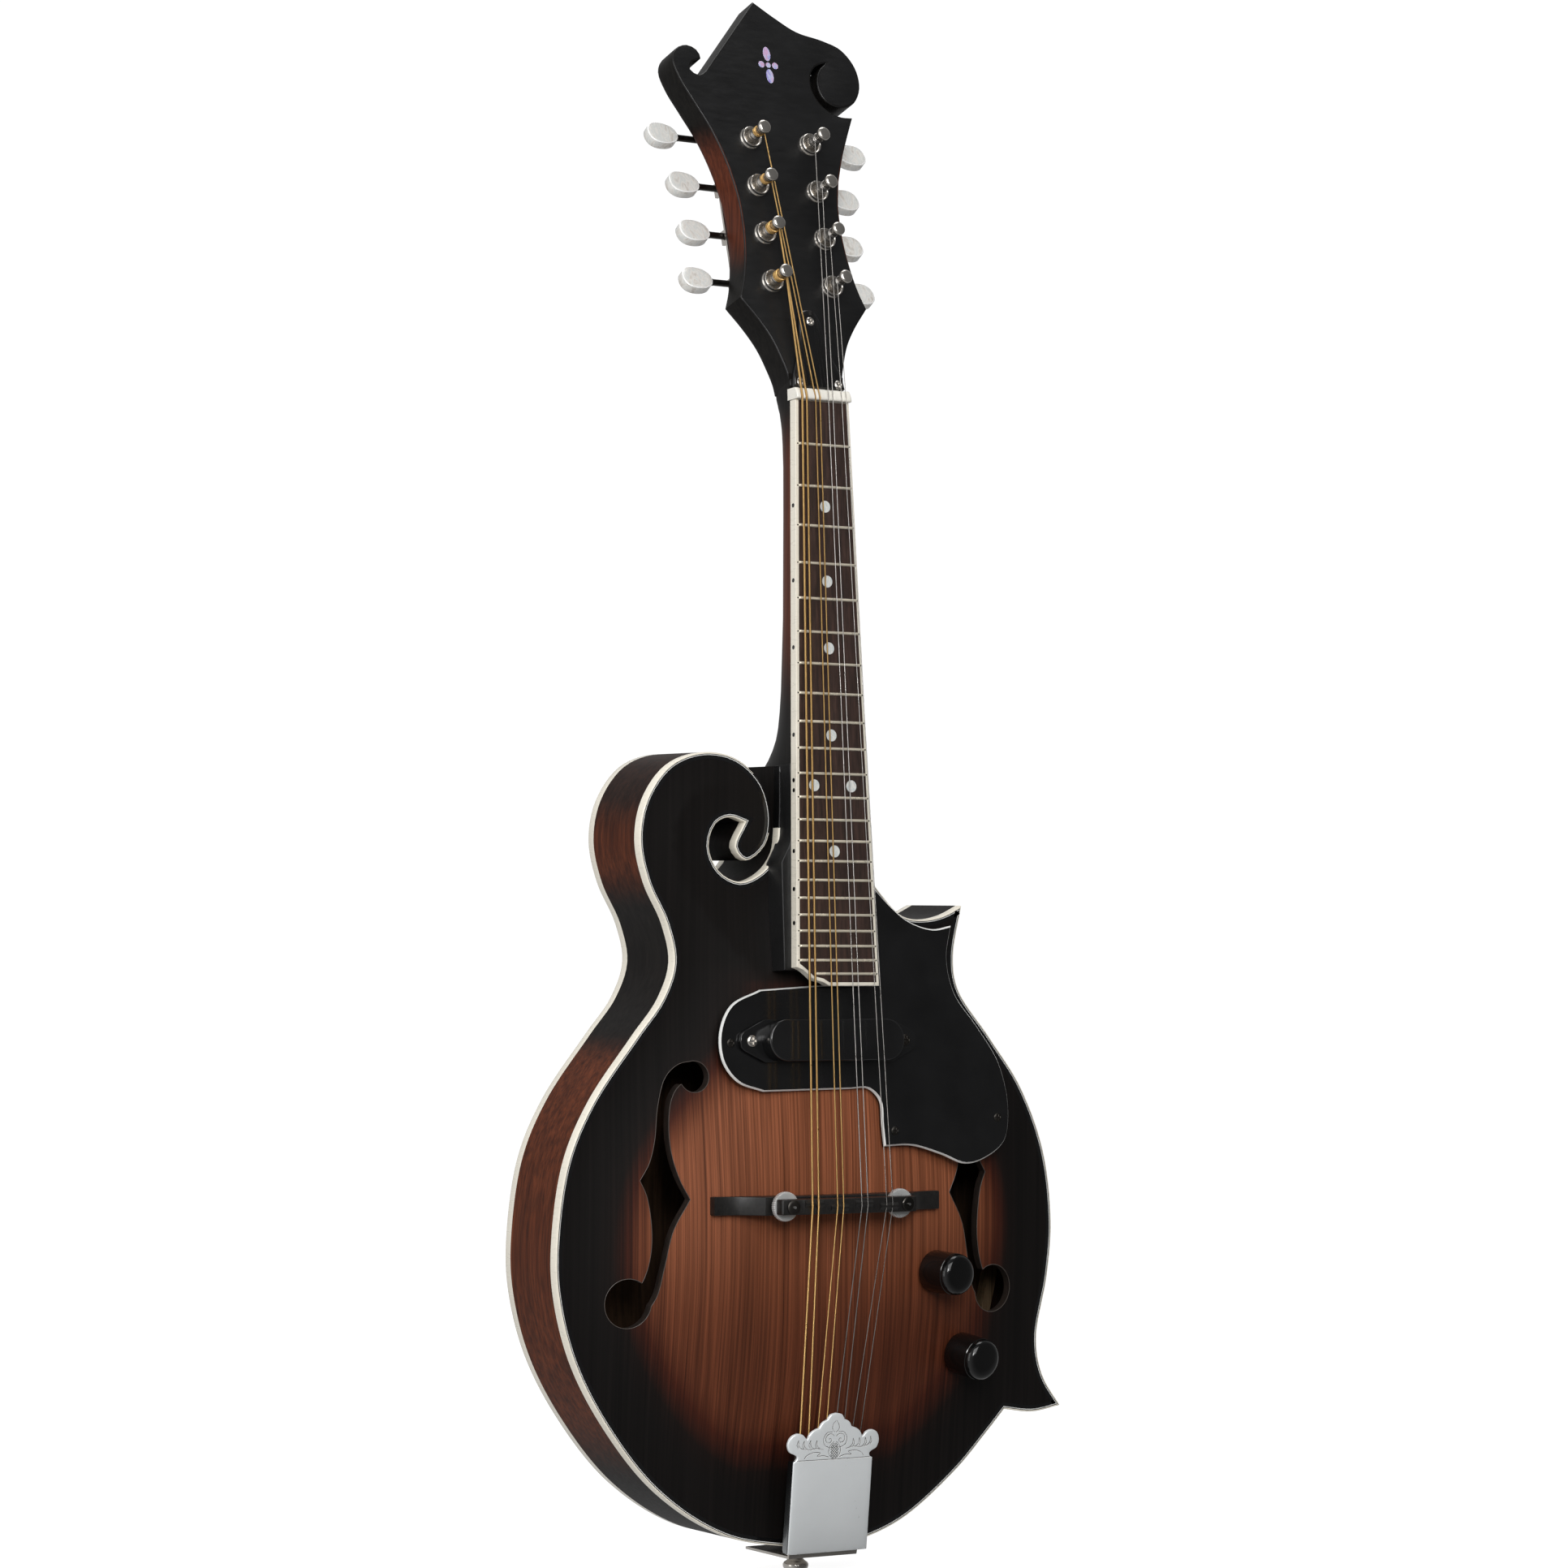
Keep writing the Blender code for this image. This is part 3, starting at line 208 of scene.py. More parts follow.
def smooth_run(points, step):
    """Points along a centripetal Catmull-Rom curve through a run."""
    knots = [np.array(p, float) for p in points]
    if len(knots) == 2:
        count = max(1, round(np.linalg.norm(knots[1] - knots[0]) / step))
        return [knots[0] + (knots[1] - knots[0]) * i / count for i in range(count)]
    ends = [2 * knots[0] - knots[1]] + knots + [2 * knots[-1] - knots[-2]]
    traced = []
    for a, b, c, d in zip(ends, ends[1:], ends[2:], ends[3:]):
        t1 = math.sqrt(np.linalg.norm(b - a))
        t2 = t1 + math.sqrt(np.linalg.norm(c - b))
        t3 = t2 + math.sqrt(np.linalg.norm(d - c))
        count = max(2, round(np.linalg.norm(c - b) / step))
        for t in np.linspace(t1, t2, count, endpoint=False):
            ab = a + (b - a) * t / t1
            bc = b + (c - b) * (t - t1) / (t2 - t1)
            cd = c + (d - c) * (t - t2) / (t3 - t2)
            abc = ab + (bc - ab) * t / t2
            bcd = bc + (cd - bc) * (t - t1) / (t3 - t1)
            traced.append(abc + (bcd - abc) * (t - t1) / (t2 - t1))
    return traced


def closed_loop(runs, step):
    return np.array([p for run in runs for p in smooth_run(run, step)])


def mirrored(runs):
    return [[(-x, y) for x, y in run[::-1]] for run in runs[::-1]]


def inset(loop, distance, sharpest=2.0):
    """A loop moved inwards, with its corners kept as corners."""
    area = np.sum(loop[:, 0] * np.roll(loop[:, 1], -1) - np.roll(loop[:, 0], -1) * loop[:, 1])
    side = 1.0 if area > 0 else -1.0
    forward = np.roll(loop, -1, axis=0) - loop
    forward /= np.linalg.norm(forward, axis=1)[:, None]
    inward = side * np.stack([-forward[:, 1], forward[:, 0]], axis=1)
    corner = inward + np.roll(inward, 1, axis=0)
    corner /= np.maximum(np.linalg.norm(corner, axis=1), 1e-6)[:, None]
    reach = 1.0 / np.maximum(np.sum(corner * inward, axis=1), 1.0 / sharpest)
    return loop + corner * (reach * distance)[:, None]


def distance_to(loop, points):
    """Distance of each point from a loop's line."""
    points = np.asarray(points, float)
    best = np.full(len(points), 1e9)
    for start, end in zip(loop, np.roll(loop, -1, axis=0)):
        span = end - start
        length = max(float(span @ span), 1e-12)
        along = np.clip(((points - start) @ span) / length, 0, 1)
        best = np.minimum(best, np.hypot(*(start + along[:, None] * span - points).T))
    return best


def inside(loop, points):
    points = np.asarray(points, float)
    odd = np.zeros(len(points), bool)
    for (x1, y1), (x2, y2) in zip(loop, np.roll(loop, -1, axis=0)):
        if y1 != y2:
            level = (y1 > points[:, 1]) != (y2 > points[:, 1])
            odd ^= level & (points[:, 0] < (x2 - x1) * (points[:, 1] - y1) / (y2 - y1) + x1)
    return odd


def smoothstep(t):
    t = np.clip(t, 0.0, 1.0)
    return t * t * (3 - 2 * t)


def circle(x, y, radius, count=32):
    angle = np.arange(count) * 2 * math.pi / count
    return np.stack([x + radius * np.cos(angle), y + radius * np.sin(angle)], axis=1)


body_loop = closed_loop(BODY_OUTLINE, 3.0)
plate_loop = inset(closed_loop(BODY_OUTLINE, 10.0), BINDING_WIDTH + 0.3)


def top_arch(points):
    """Height of the soundboard over its edge plane."""
    points = np.asarray(points, float)
    over_bridge = np.maximum(points[:, 1] - BRIDGE_Z, 0.0)
    shoulder = 95.0 - 40.0 * smoothstep(over_bridge / 110.0)
    fall = 1.0 / (1.0 + (over_bridge / 90.0) ** 2)
    return TOP_ARCH * fall * smoothstep(distance_to(plate_loop, points) / shoulder)


def back_arch(points):
    return BACK_ARCH * smoothstep(distance_to(plate_loop, points) / 85.0)


# Shapes

class Shape:
    """Vertices in metres, faces, a material number for each face and a value for each vertex."""

    def __init__(self):
        self.verts, self.faces, self.marks, self.values = [], [], [], []

    def add(self, made, place=WORLD, mark=0, values=None):
        verts, faces = made[0], made[1]
        verts = np.asarray(verts, float) * MM
        turn = np.array(place)
        first = len(self.verts)
        self.verts += (verts @ turn[:3, :3].T + turn[:3, 3]).tolist()
        self.faces += [[first + i for i in face] for face in faces]
        self.marks += [mark] * len(faces) if len(made) < 3 else [mark + m for m in made[2]]
        self.values += [0.0] * len(verts) if values is None else list(values)
        return self


def loft(rings, wrap=False, caps=True, closed=True):
    """Skin over rings of points; wrap joins the last ring to the first."""
    count = len(rings[0])
    verts = np.concatenate([np.asarray(ring, float) for ring in rings])
    faces = []
    pairs = len(rings) if wrap else len(rings) - 1
    for k in range(pairs):
        a, b = k * count, ((k + 1) % len(rings)) * count
        for i in range(count if closed else count - 1):
            j = (i + 1) % count
            faces.append((a + i, a + j, b + j, b + i))
    if caps and not wrap and closed:
        faces.append(tuple(range(count))[::-1])
        faces.append(tuple(range(len(verts) - count, len(verts))))
    return verts, faces


def revolve(profile, steps=40):
    """Solid of revolution about Z, from points (radius, height)."""
    return loft([raised(circle(0, 0, radius, steps), height) for radius, height in profile])


def tube(path, radius, sides=10, caps=True):
    """Round tube along a path; the second result is each vertex's way along it."""
    path = np.asarray(path, float)
    ahead = np.gradient(path, axis=0)
    ahead /= np.linalg.norm(ahead, axis=1)[:, None]
    across = np.cross(ahead[0], (0.3, 0.9, 0.1))
    radii = np.broadcast_to(radius, len(path))
    angle = np.arange(sides) * 2 * math.pi / sides
    rings = []
    for point, direction, reach in zip(path, ahead, radii):
        across = across - direction * (across @ direction)
        across /= np.linalg.norm(across)
        other = np.cross(direction, across)
        rings.append(point + reach * (np.cos(angle)[:, None] * across + np.sin(angle)[:, None] * other))
    steps = np.concatenate([[0], np.cumsum(np.linalg.norm(np.diff(path, axis=0), axis=1))])
    return loft(rings, caps=caps), np.repeat(steps, sides)


def triangulate(loops, spacing=None, holes=()):
    """Triangles inside the first loop and outside the others."""
    everything = list(loops) + list(holes)
    points, edges = [], []
    for loop in everything:
        first = len(points)
        points += [Vector(p) for p in loop]
        edges += [(first + i, first + (i + 1) % len(loop)) for i in range(len(loop))]
    if spacing:
        low, high = loops[0].min(axis=0), loops[0].max(axis=0)
        rows = np.arange(low[1], high[1], spacing * 0.87)
        grid = np.array([(x + (k % 2) * spacing / 2, y) for k, y in enumerate(rows)
                         for x in np.arange(low[0], high[0], spacing)])
        grid = grid[inside(loops[0], grid)]
        for loop in everything:
            grid = grid[distance_to(loop, grid) > spacing * 0.55]
        for loop in everything[1:]:
            grid = grid[~inside(loop, grid)]
        points += [Vector(p) for p in grid]
    result = delaunay_2d_cdt(points, edges, [], 1, 1e-6)
    verts = np.array([tuple(v) for v in result[0]])
    faces = [tuple(face) for face in result[2]]
    middle = np.array([verts[list(face)].mean(axis=0) for face in faces])
    keep = inside(loops[0], middle)
    for loop in everything[1:]:
        keep &= ~inside(loop, middle)
    return verts, [face for face, kept in zip(faces, keep) if kept]


def raised(verts, height, lift=None):
    up = np.full(len(verts), float(height))
    if lift is not None:
        up += lift(verts)
    return np.column_stack([verts, up])


def slab(loops, rings, marks=None, spacing=None, lift=None, closed=(True, True)):
    """Plate with the given outline and holes; rings are (inset, height) from its front to its back.

    closed says whether the front and the back have a face.
    """
    verts, faces, numbers = [], [], []

    def take(new_verts, new_faces, number):
        first = sum(len(v) for v in verts)
        verts.append(new_verts)
        faces.extend(tuple(first + i for i in face) for face in new_faces)
        numbers.extend([number] * len(new_faces))

    marks = marks or [0] * (len(rings) + 1)
    ends = [(rings[0], marks[0]), (rings[-1], marks[-1])]
    for (distance, height), number in [end for end, wanted in zip(ends, closed) if wanted]:
        moved = [inset(loop, distance if k == 0 else -distance) for k, loop in enumerate(loops)]
        flat, triangles = triangulate(moved, spacing)
        take(raised(flat, height, lift), triangles, number)
    for k, loop in enumerate(loops):
        walls = [raised(inset(loop, distance if k == 0 else -distance), height, lift)
                 for distance, height in rings]
        for pair, number in zip(zip(walls, walls[1:]), marks[1:]):
            take(*loft(pair, caps=False), number)
    return np.concatenate(verts), faces, numbers


def rounded(low, high, front=0.4, back=None, steps=4):
    """Rings of a plate between two heights, with rounded front and back edges."""
    back = front if back is None else back
    turn = [math.pi / 2 * i / steps for i in range(steps + 1)]
    rings = [(front * (1 - math.sin(a)), high - front * (1 - math.cos(a))) for a in turn]
    rings += [(back * (1 - math.cos(a)), low + back * (1 - math.sin(a))) for a in turn]
    return rings


def piece(name, shape, materials, body="root", stands_for=(), angle=35, value_of=None):
    """Mesh object made from a shape, riding on its body and standing for CAD nodes."""
    mesh = bpy.data.meshes.new(name)
    mesh.from_pydata(shape.verts, [], shape.faces)
    mesh.update()
    marks = np.array(shape.marks, dtype=np.int32)
    if len(mesh.polygons) == len(marks):
        mesh.polygons.foreach_set("material_index", marks)
    attribute = mesh.attributes.new("value", "FLOAT", "POINT")
    values = value_of(np.array(shape.verts) / MM) if value_of else shape.values
    attribute.data.foreach_set("value", np.asarray(values, dtype=np.float32))
    work = bmesh.new()
    work.from_mesh(mesh)
    bmesh.ops.remove_doubles(work, verts=work.verts, dist=0.000004)
    bmesh.ops.dissolve_degenerate(work, edges=work.edges, dist=0.000001)
    bmesh.ops.recalc_face_normals(work, faces=work.faces)
    work.to_mesh(mesh)
    work.free()
    for material in materials if isinstance(materials, (list, tuple)) else [materials]:
        mesh.materials.append(material)
    mesh.shade_smooth()
    mesh.set_sharp_from_angle(angle=math.radians(angle))
    made = bpy.data.objects.new(name, mesh)
    bpy.context.scene.collection.objects.link(made)
    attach(made, body)
    if stands_for:
        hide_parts(*stands_for)
    return made


# Materials

class Look:
    """A Principled material with a few procedural helpers; object space is in metres."""

    def __init__(self, name, colour, rough, metallic=0.0, coat=0.0, coat_rough=0.08, **more):
        self.material = bpy.data.materials.new(name)
        self.material.use_nodes = True
        self.nodes, self.links = self.material.node_tree.nodes, self.material.node_tree.links
        self.shader = self.nodes["Principled BSDF"]
        self.set("Base Color", (*colour, 1.0))
        self.set("Roughness", rough)
        self.set("Metallic", metallic)
        self.set("Coat Weight", coat)
        self.set("Coat Roughness", coat_rough)
        for key, value in more.items():
            self.set(key.replace("_", " "), value)
        self.space = self.nodes.new("ShaderNodeTexCoord").outputs["Object"]

    def set(self, socket, value):
        self.shader.inputs[socket].default_value = value

    def put(self, socket, source):
        self.links.new(source, self.shader.inputs[socket])
        return self

    def value(self):
        node = self.nodes.new("ShaderNodeAttribute")
        node.attribute_name = "value"
        return node.outputs["Fac"]

    def noise(self, scale, detail=4.0, rough=0.55, distortion=0.0):
        """Noise with its own number of cycles a metre along X, Y and Z."""
        mapping = self.nodes.new("ShaderNodeMapping")
        mapping.inputs["Scale"].default_value = scale
        self.links.new(self.space, mapping.inputs["Vector"])
        node = self.nodes.new("ShaderNodeTexNoise")
        node.inputs["Scale"].default_value = 1.0
        node.inputs["Detail"].default_value = detail
        node.inputs["Roughness"].default_value = rough
        node.inputs["Distortion"].default_value = distortion
        self.links.new(mapping.outputs["Vector"], node.inputs["Vector"])
        return node.outputs["Fac"]

    def ramp(self, source, stops):
        node = self.nodes.new("ShaderNodeValToRGB")
        while len(node.color_ramp.elements) < len(stops):
            node.color_ramp.elements.new(0.5)
        for element, (place, colour) in zip(node.color_ramp.elements, stops):
            element.position = place
            element.color = (*colour, 1.0) if isinstance(colour, (tuple, list)) else (colour,) * 3 + (1.0,)
        self.links.new(source, node.inputs["Fac"])
        return node.outputs["Color"]

    def mix(self, amount, first, second, blend="MIX"):
        node = self.nodes.new("ShaderNodeMix")
        node.data_type = "RGBA"
        node.blend_type = blend
        for name, item in (("Factor", amount), ("A", first), ("B", second)):
            index = {"Factor": 0, "A": 6, "B": 7}[name]
            if isinstance(item, (int, float)):
                node.inputs[index].default_value = item if index == 0 else (item,) * 3 + (1.0,)
            elif isinstance(item, tuple):
                node.inputs[index].default_value = (*item, 1.0)
            else:
                self.links.new(item, node.inputs[index])
        return node.outputs[2]

    def range(self, source, low, high, start=0.0, end=1.0):
        node = self.nodes.new("ShaderNodeMapRange")
        self.links.new(source, node.inputs["Value"])
        for name, number in (("From Min", start), ("From Max", end), ("To Min", low), ("To Max", high)):
            node.inputs[name].default_value = number
        return node.outputs["Result"]

    def bump(self, height, depth):
        """Bump of the given depth in millimetres."""
        node = self.nodes.new("ShaderNodeBump")
        node.inputs["Strength"].default_value = 1.0
        node.inputs["Distance"].default_value = depth * MM
        self.links.new(height, node.inputs["Height"])
        return self.put("Normal", node.outputs["Normal"])


def wood(name, dark, light, rough, grain, coat=0.0, coat_rough=0.1, blend=None, pores=0.02, **more):
    """Straight-grained wood; grain is cycles a metre, and blend goes to a colour by vertex value."""
    look = Look(name, light, rough, coat=coat, coat_rough=coat_rough, **more)
    figure = look.noise(grain, 5.0, 0.6, 0.15)
    colour = look.ramp(figure, [(0.3, dark), (0.68, light)])
    fine = look.noise(tuple(g * 2.2 for g in grain), 3.0)
    colour = look.mix(0.5, colour, look.ramp(fine, [(0.38, 0.3), (0.58, 1.0)]), "MULTIPLY")
    streak = look.noise(tuple(g * 0.17 for g in grain), 3.0, 0.6)
    colour = look.mix(0.5, colour, look.ramp(streak, [(0.36, 0.72), (0.5, 0.93), (0.62, 1.0)]), "MULTIPLY")
    if blend:
        stops = look.ramp(look.value(), blend)
        colour = look.mix(1.0, colour, stops, "MULTIPLY")
    look.put("Base Color", colour)
    look.put("Roughness", look.range(fine, rough * 0.85, rough * 1.2))
    look.bump(fine, pores)
    return look.material


def plastic(name, colour, rough, coat=0.0, wear=0.25, scale=350.0, depth=0.004, tint=0.12, **more):
    """Moulded or lacquered surface with faint mottling, fine scuffs and a soft ripple."""
    look = Look(name, colour, rough, coat=coat, **more)
    cloud = look.noise((scale * 0.12,) * 3, 3.0)
    fine = look.noise((scale * 4,) * 3, 2.0)
    pale = tuple(min(1.0, c * (1 + tint) + tint * 0.01) for c in colour)
    deep = tuple(c * (1 - tint) for c in colour)
    look.put("Base Color", look.ramp(cloud, [(0.3, deep), (0.7, pale)]))
    scuff = look.noise((scale * 0.5, scale * 0.5, scale * 2.5), 5.0, 0.7)
    look.put("Roughness", look.range(scuff, rough * (1 - wear), rough * (1 + wear), 0.3, 0.7))
    look.bump(fine, depth)
    return look.material


def metal(name, colour, rough, wear=0.5, brush=(900, 900, 900), depth=0.003, tint=0.18, blend=None, **more):
    look = Look(name, colour, rough, **{"Metallic": 1.0, **more})
    smear = look.noise((60, 60, 60), 5.0, 0.65)
    fine = look.noise(brush, 3.0)
    look.put("Roughness", look.range(smear, rough * (1 - wear), rough * (1 + wear), 0.3, 0.7))
    deep = tuple(c * (1 - tint) for c in colour)
    tone = look.ramp(smear, [(0.3, deep), (0.7, colour)])
    if blend:
        tone = look.mix(1.0, tone, look.ramp(look.value(), blend), "MULTIPLY")
    look.put("Base Color", tone)
    look.bump(fine, depth)
    return look.material


def pearl(name, colours, scale, rough=0.18, depth=0.003):
    """Pearly celluloid: swirled flakes of a few close colours."""
    look = Look(name, colours[1], rough, coat=0.5, coat_rough=0.05)
    swirl = look.noise((scale, scale * 0.5, scale * 0.35), 2.0, 0.5, 2.6)
    flake = look.noise((scale * 1.7, scale * 1.1, scale * 0.5), 2.0, 0.5, 3.5)
    first = look.ramp(swirl, [(0.32, colours[0]), (0.47, colours[1]), (0.56, colours[2]), (0.68, colours[1])])
    second = look.ramp(flake, [(0.36, 0.94), (0.5, 1.0), (0.6, 0.96)])
    look.put("Base Color", look.mix(1.0, first, second, "MULTIPLY"))
    look.put("Roughness", look.range(flake, rough * 0.7, rough * 1.6))
    look.bump(flake, depth)
    return look.material


def wound(name, colour):
    """Wire wound round a string, its turns evenly spaced along the vertex value."""
    look = Look(name, colour, 0.3, metallic=1.0)
    turns = look.nodes.new("ShaderNodeMath")
    turns.operation = "MULTIPLY"
    turns.inputs[1].default_value = 2 * math.pi / WINDING_PITCH
    look.links.new(look.value(), turns.inputs[0])
    wave = look.nodes.new("ShaderNodeMath")
    wave.operation = "SINE"
    look.links.new(turns.outputs[0], wave.inputs[0])
    height = look.range(wave.outputs[0], 0.0, 1.0, -1.0, 1.0)
    # The gaps between turns are coloured darker: painted shade in the grooves.
    look.put("Base Color", look.ramp(height, [(0.0, tuple(c * 0.55 for c in colour)), (0.6, colour)]))
    look.put("Roughness", look.range(look.noise((300, 300, 300)), 0.22, 0.4))
    look.bump(height, 0.05)
    return look.material


BLACK = (0.0085, 0.0085, 0.0088)
soundboard = wood("sunburst_spruce", (0.13, 0.036, 0.013), (0.4, 0.13, 0.058), 0.5, (760, 50, 3.5),
                  coat=0.08, coat_rough=0.35, Specular_IOR_Level=0.22,
                  blend=[(0.0, (1, 1, 1)), (0.3, (0.56, 0.5, 0.47)), (0.6, (0.2, 0.13, 0.12)),
                         (0.86, (0.03, 0.045, 0.075)), (1.0, (0.016, 0.035, 0.07))])
side_wood = wood("side_mahogany", (0.05, 0.011, 0.004), (0.15, 0.038, 0.014), 0.5, (420, 420, 16),
                 Specular_IOR_Level=0.08, blend=[(0.0, (1, 1, 1)), (1.0, (0.08, 0.25, 0.6))])
back_wood = wood("back_mahogany", (0.07, 0.016, 0.007), (0.16, 0.04, 0.017), 0.4, (300, 300, 12),
                 coat=0.12, coat_rough=0.15, Specular_IOR_Level=0.2,
                 blend=[(0.0, (1, 1, 1)), (0.6, (0.5, 0.4, 0.4)), (1.0, (0.1, 0.16, 0.2))])
neck_wood = wood("neck_mahogany", (0.07, 0.016, 0.007), (0.15, 0.036, 0.015), 0.45, (520, 520, 14),
                 Specular_IOR_Level=0.1, blend=[(0.0, (1, 1, 1)), (1.0, (0.07, 0.26, 0.55))])
rosewood = wood("rosewood", (0.018, 0.009, 0.006), (0.062, 0.03, 0.021), 0.5, (700, 700, 18), pores=0.05)
ebony = wood("ebony", (0.006, 0.0055, 0.005), (0.014, 0.012, 0.011), 0.4, (900, 300, 300), pores=0.02)
# Spruce inside the body, coloured far darker than bare spruce: painted shade inside the body.
spruce = wood("inner_spruce", (0.1, 0.062, 0.032), (0.17, 0.115, 0.065), 0.7, (700, 700, 14), pores=0.04,
              Specular_IOR_Level=0.1)
inner_mahogany = wood("inner_mahogany", (0.2, 0.08, 0.04), (0.34, 0.15, 0.08), 0.6, (300, 300, 20),
                      pores=0.05)
black_lacquer = plastic("black_lacquer", BLACK, 0.36, coat=0.05, coat_rough=0.25, scale=220.0, tint=0.2,
                        Specular_IOR_Level=0.28)
black_gloss = plastic("black_gloss", (0.005, 0.005, 0.0053), 0.16, coat=0.15, wear=0.4, tint=0.2)
white_edge = plastic("white_edge", (0.74, 0.74, 0.72), 0.3, tint=0.05)
cream = plastic("cream_binding", (0.82, 0.77, 0.66), 0.3, coat=0.2, tint=0.06, scale=250.0)
bone = plastic("bone", (0.85, 0.82, 0.74), 0.32, coat=0.15, tint=0.07, scale=900.0, depth=0.01)
chrome = metal("chrome", (0.56, 0.53, 0.49), 0.2, wear=0.12, depth=0.0002, tint=0.06, Metallic=0.9)
# Tailpiece cover, with painted shade by its height: the face darker towards its foot, the side walls far
# darker towards the crest.
cover_face_shaded = metal("cover_nickel_painted_shade", (0.9, 0.93, 0.94), 0.3, wear=0.1, depth=0.0006, tint=0.04, Metallic=0.25,
                     blend=[(0.0, 0.7), (0.3, 0.82), (0.65, 0.9), (1.0, 0.95)])
cover_side_painted_shade = metal("cover_side_painted_shade", (0.62, 0.65, 0.67), 0.26, wear=0.15, depth=0.0006, tint=0.06, Metallic=0.5,
                   blend=[(0.0, 0.42), (0.35, 0.1), (0.8, 0.025), (1.0, 0.015)])
wheel_nickel = metal("wheel_nickel", (0.66, 0.66, 0.65), 0.32, wear=0.3, Metallic=0.45)
nickel = metal("fret_nickel", (0.9, 0.82, 0.66), 0.26, brush=(200, 2500, 2500), depth=0.002, Metallic=0.4)
steel = metal("plain_steel", (0.5, 0.5, 0.5), 0.3, brush=(300, 2000, 2000))
dark_steel = metal("blackened_steel", (0.06, 0.055, 0.05), 0.35, depth=0.01)
wire = metal("string_steel", (0.42, 0.4, 0.38), 0.34, brush=(1500, 1500, 100), depth=0.0005)
bronze = wound("wound_bronze", (0.82, 0.52, 0.2))
pearloid = pearl("pearloid", [(0.6, 0.565, 0.52), (0.78, 0.76, 0.72), (0.67, 0.68, 0.66)], 200)
# Paler pearl for the ring round each button's front edge: a painted highlight.
pearl_edge_highlight = pearl("pearloid_edge_painted_highlight", [(0.85, 0.83, 0.8), (0.98, 0.97, 0.95), (0.9, 0.91, 0.9)], 260)
inlay = pearl("pearl_inlay", [(0.3, 0.24, 0.62), (0.5, 0.55, 0.75), (0.62, 0.34, 0.55)], 220)
dots = pearl("pearl_dots", [(0.62, 0.62, 0.6), (0.8, 0.8, 0.76), (0.6, 0.66, 0.66)], 380)
# Inside face of the back, near black: painted shade inside the body.
back_inside_painted_shade = wood("back_inside_painted_shade", (0.02, 0.011, 0.006), (0.045, 0.024, 0.013), 0.7, (300, 300, 20),
                   Specular_IOR_Level=0.1)
# Underside and cut walls of the soundboard, near black: painted shade inside the body and in the holes.
soundboard_inside_shade = wood("soundboard_inside_painted_shade", (0.012, 0.008, 0.006), (0.03, 0.018, 0.012), 0.6, (500, 500, 20))
f_hole_edge = plastic("f_hole_edge", (0.085, 0.07, 0.06), 0.4, scale=500.0)
# The crest's cut lines: a dark strip of painted shade and a white strip of painted highlight.
engraving_painted_shade = metal("engraving_painted_shade", (0.05, 0.05, 0.053), 0.4, Metallic=0.4)
engraving_painted_highlight = metal("engraving_painted_highlight", (0.98, 0.98, 0.97), 0.3, tint=0.03, Metallic=0.0)
knob_black = plastic("knob_black", (0.003, 0.003, 0.003), 0.12, wear=0.12, depth=0.0005,
                     Specular_IOR_Level=0.45)


# Body

def f_hole_parts(sign):
    arm = closed_loop(F_HOLE_ARM, 2.0) * (sign, 1)
    return [circle(sign * x, y, radius, 48) for x, y, radius in (F_HOLE_TOP_EYE, F_HOLE_BOTTOM_EYE)] + [arm]


def open_edges(faces):
    """Directed edges that only one face uses."""
    seen = {}
    for face in faces:
        for a, b in zip(face, face[1:] + face[:1]):
            seen[(a, b)] = True
    return [(a, b) for a, b in seen if (b, a) not in seen]


def chains(edges):
    """Closed runs of vertices along open edges."""
    after = dict(edges)
    runs = []
    while after:
        start, here = after.popitem()
        run = [start]
        while here != start and here in after:
            run.append(here)
            here = after.pop(here)
        runs.append(run)
    return runs


def edge_shade(points):
    """How far the burst has gone to black, from the place on the body."""
    x, z = points[:, 0], points[:, 1]
    edge = distance_to(plate_loop, np.stack([x, z], axis=1))
    near = 1 - smoothstep((edge - 13) / 34)
    corner = 0.75 * smoothstep((np.hypot((x - 4) / 128, (z - 132) / 124) - 0.68) / 0.28)
    tail = 1 - smoothstep((z - 34) / 38)
    neck_end = np.clip((z - 225) / 40, 0, 1)
    black = np.maximum.reduce([1 - (1 - near) * (1 - corner), tail, neck_end])
    deep = 0.4 * smoothstep((178 - z) / 90) + 0.1 * smoothstep((x - 5) / 30) * smoothstep((160 - z) / 50)
    return np.clip(black + deep * (1 - black), 0, 1)


def smooth_normals(made, arch, mark, way):
    """Give an arched plate's face the true normals of its arch; way is -1 on the front, +1 on the back."""
    mesh = made.data
    place = np.array([v.co[:] for v in mesh.vertices])[:, [0, 2]] / MM
    slope = [(arch(place + step) - arch(place - step)) / 2 for step in ((1.0, 0.0), (0.0, 1.0))]
    normal = np.stack([-slope[0], np.full(len(place), float(way)), -slope[1]], axis=1)
    normal /= np.linalg.norm(normal, axis=1)[:, None]
    corners = np.zeros((len(mesh.loops), 3))
    for face in mesh.polygons:
        if face.material_index == mark and face.normal.y * way > 0.5:
            for corner in face.loop_indices:
                corners[corner] = normal[mesh.loops[corner].vertex_index]
    mesh.normals_split_custom_set(corners.tolist())


def body_value(points):
    """Vertex value of body pieces, whose world Z is the height along the body."""
    return edge_shade(points[:, [0, 2]])


def plate(faces, outer, inner, wall_mark):
    """Arched plate between the outer and inner vertices of its faces, and the faces' open edges."""
    edges = open_edges(faces)
    used = len(outer)
    walls = [(a, a + used, b + used, b) for a, b in edges]
    made = (np.concatenate([outer, inner]), faces + [tuple(i + used for i in face[::-1]) for face in faces]
            + walls, [0] * len(faces) + [1] * len(faces) + [wall_mark] * len(walls))
    return Shape().add(made, BODY), edges


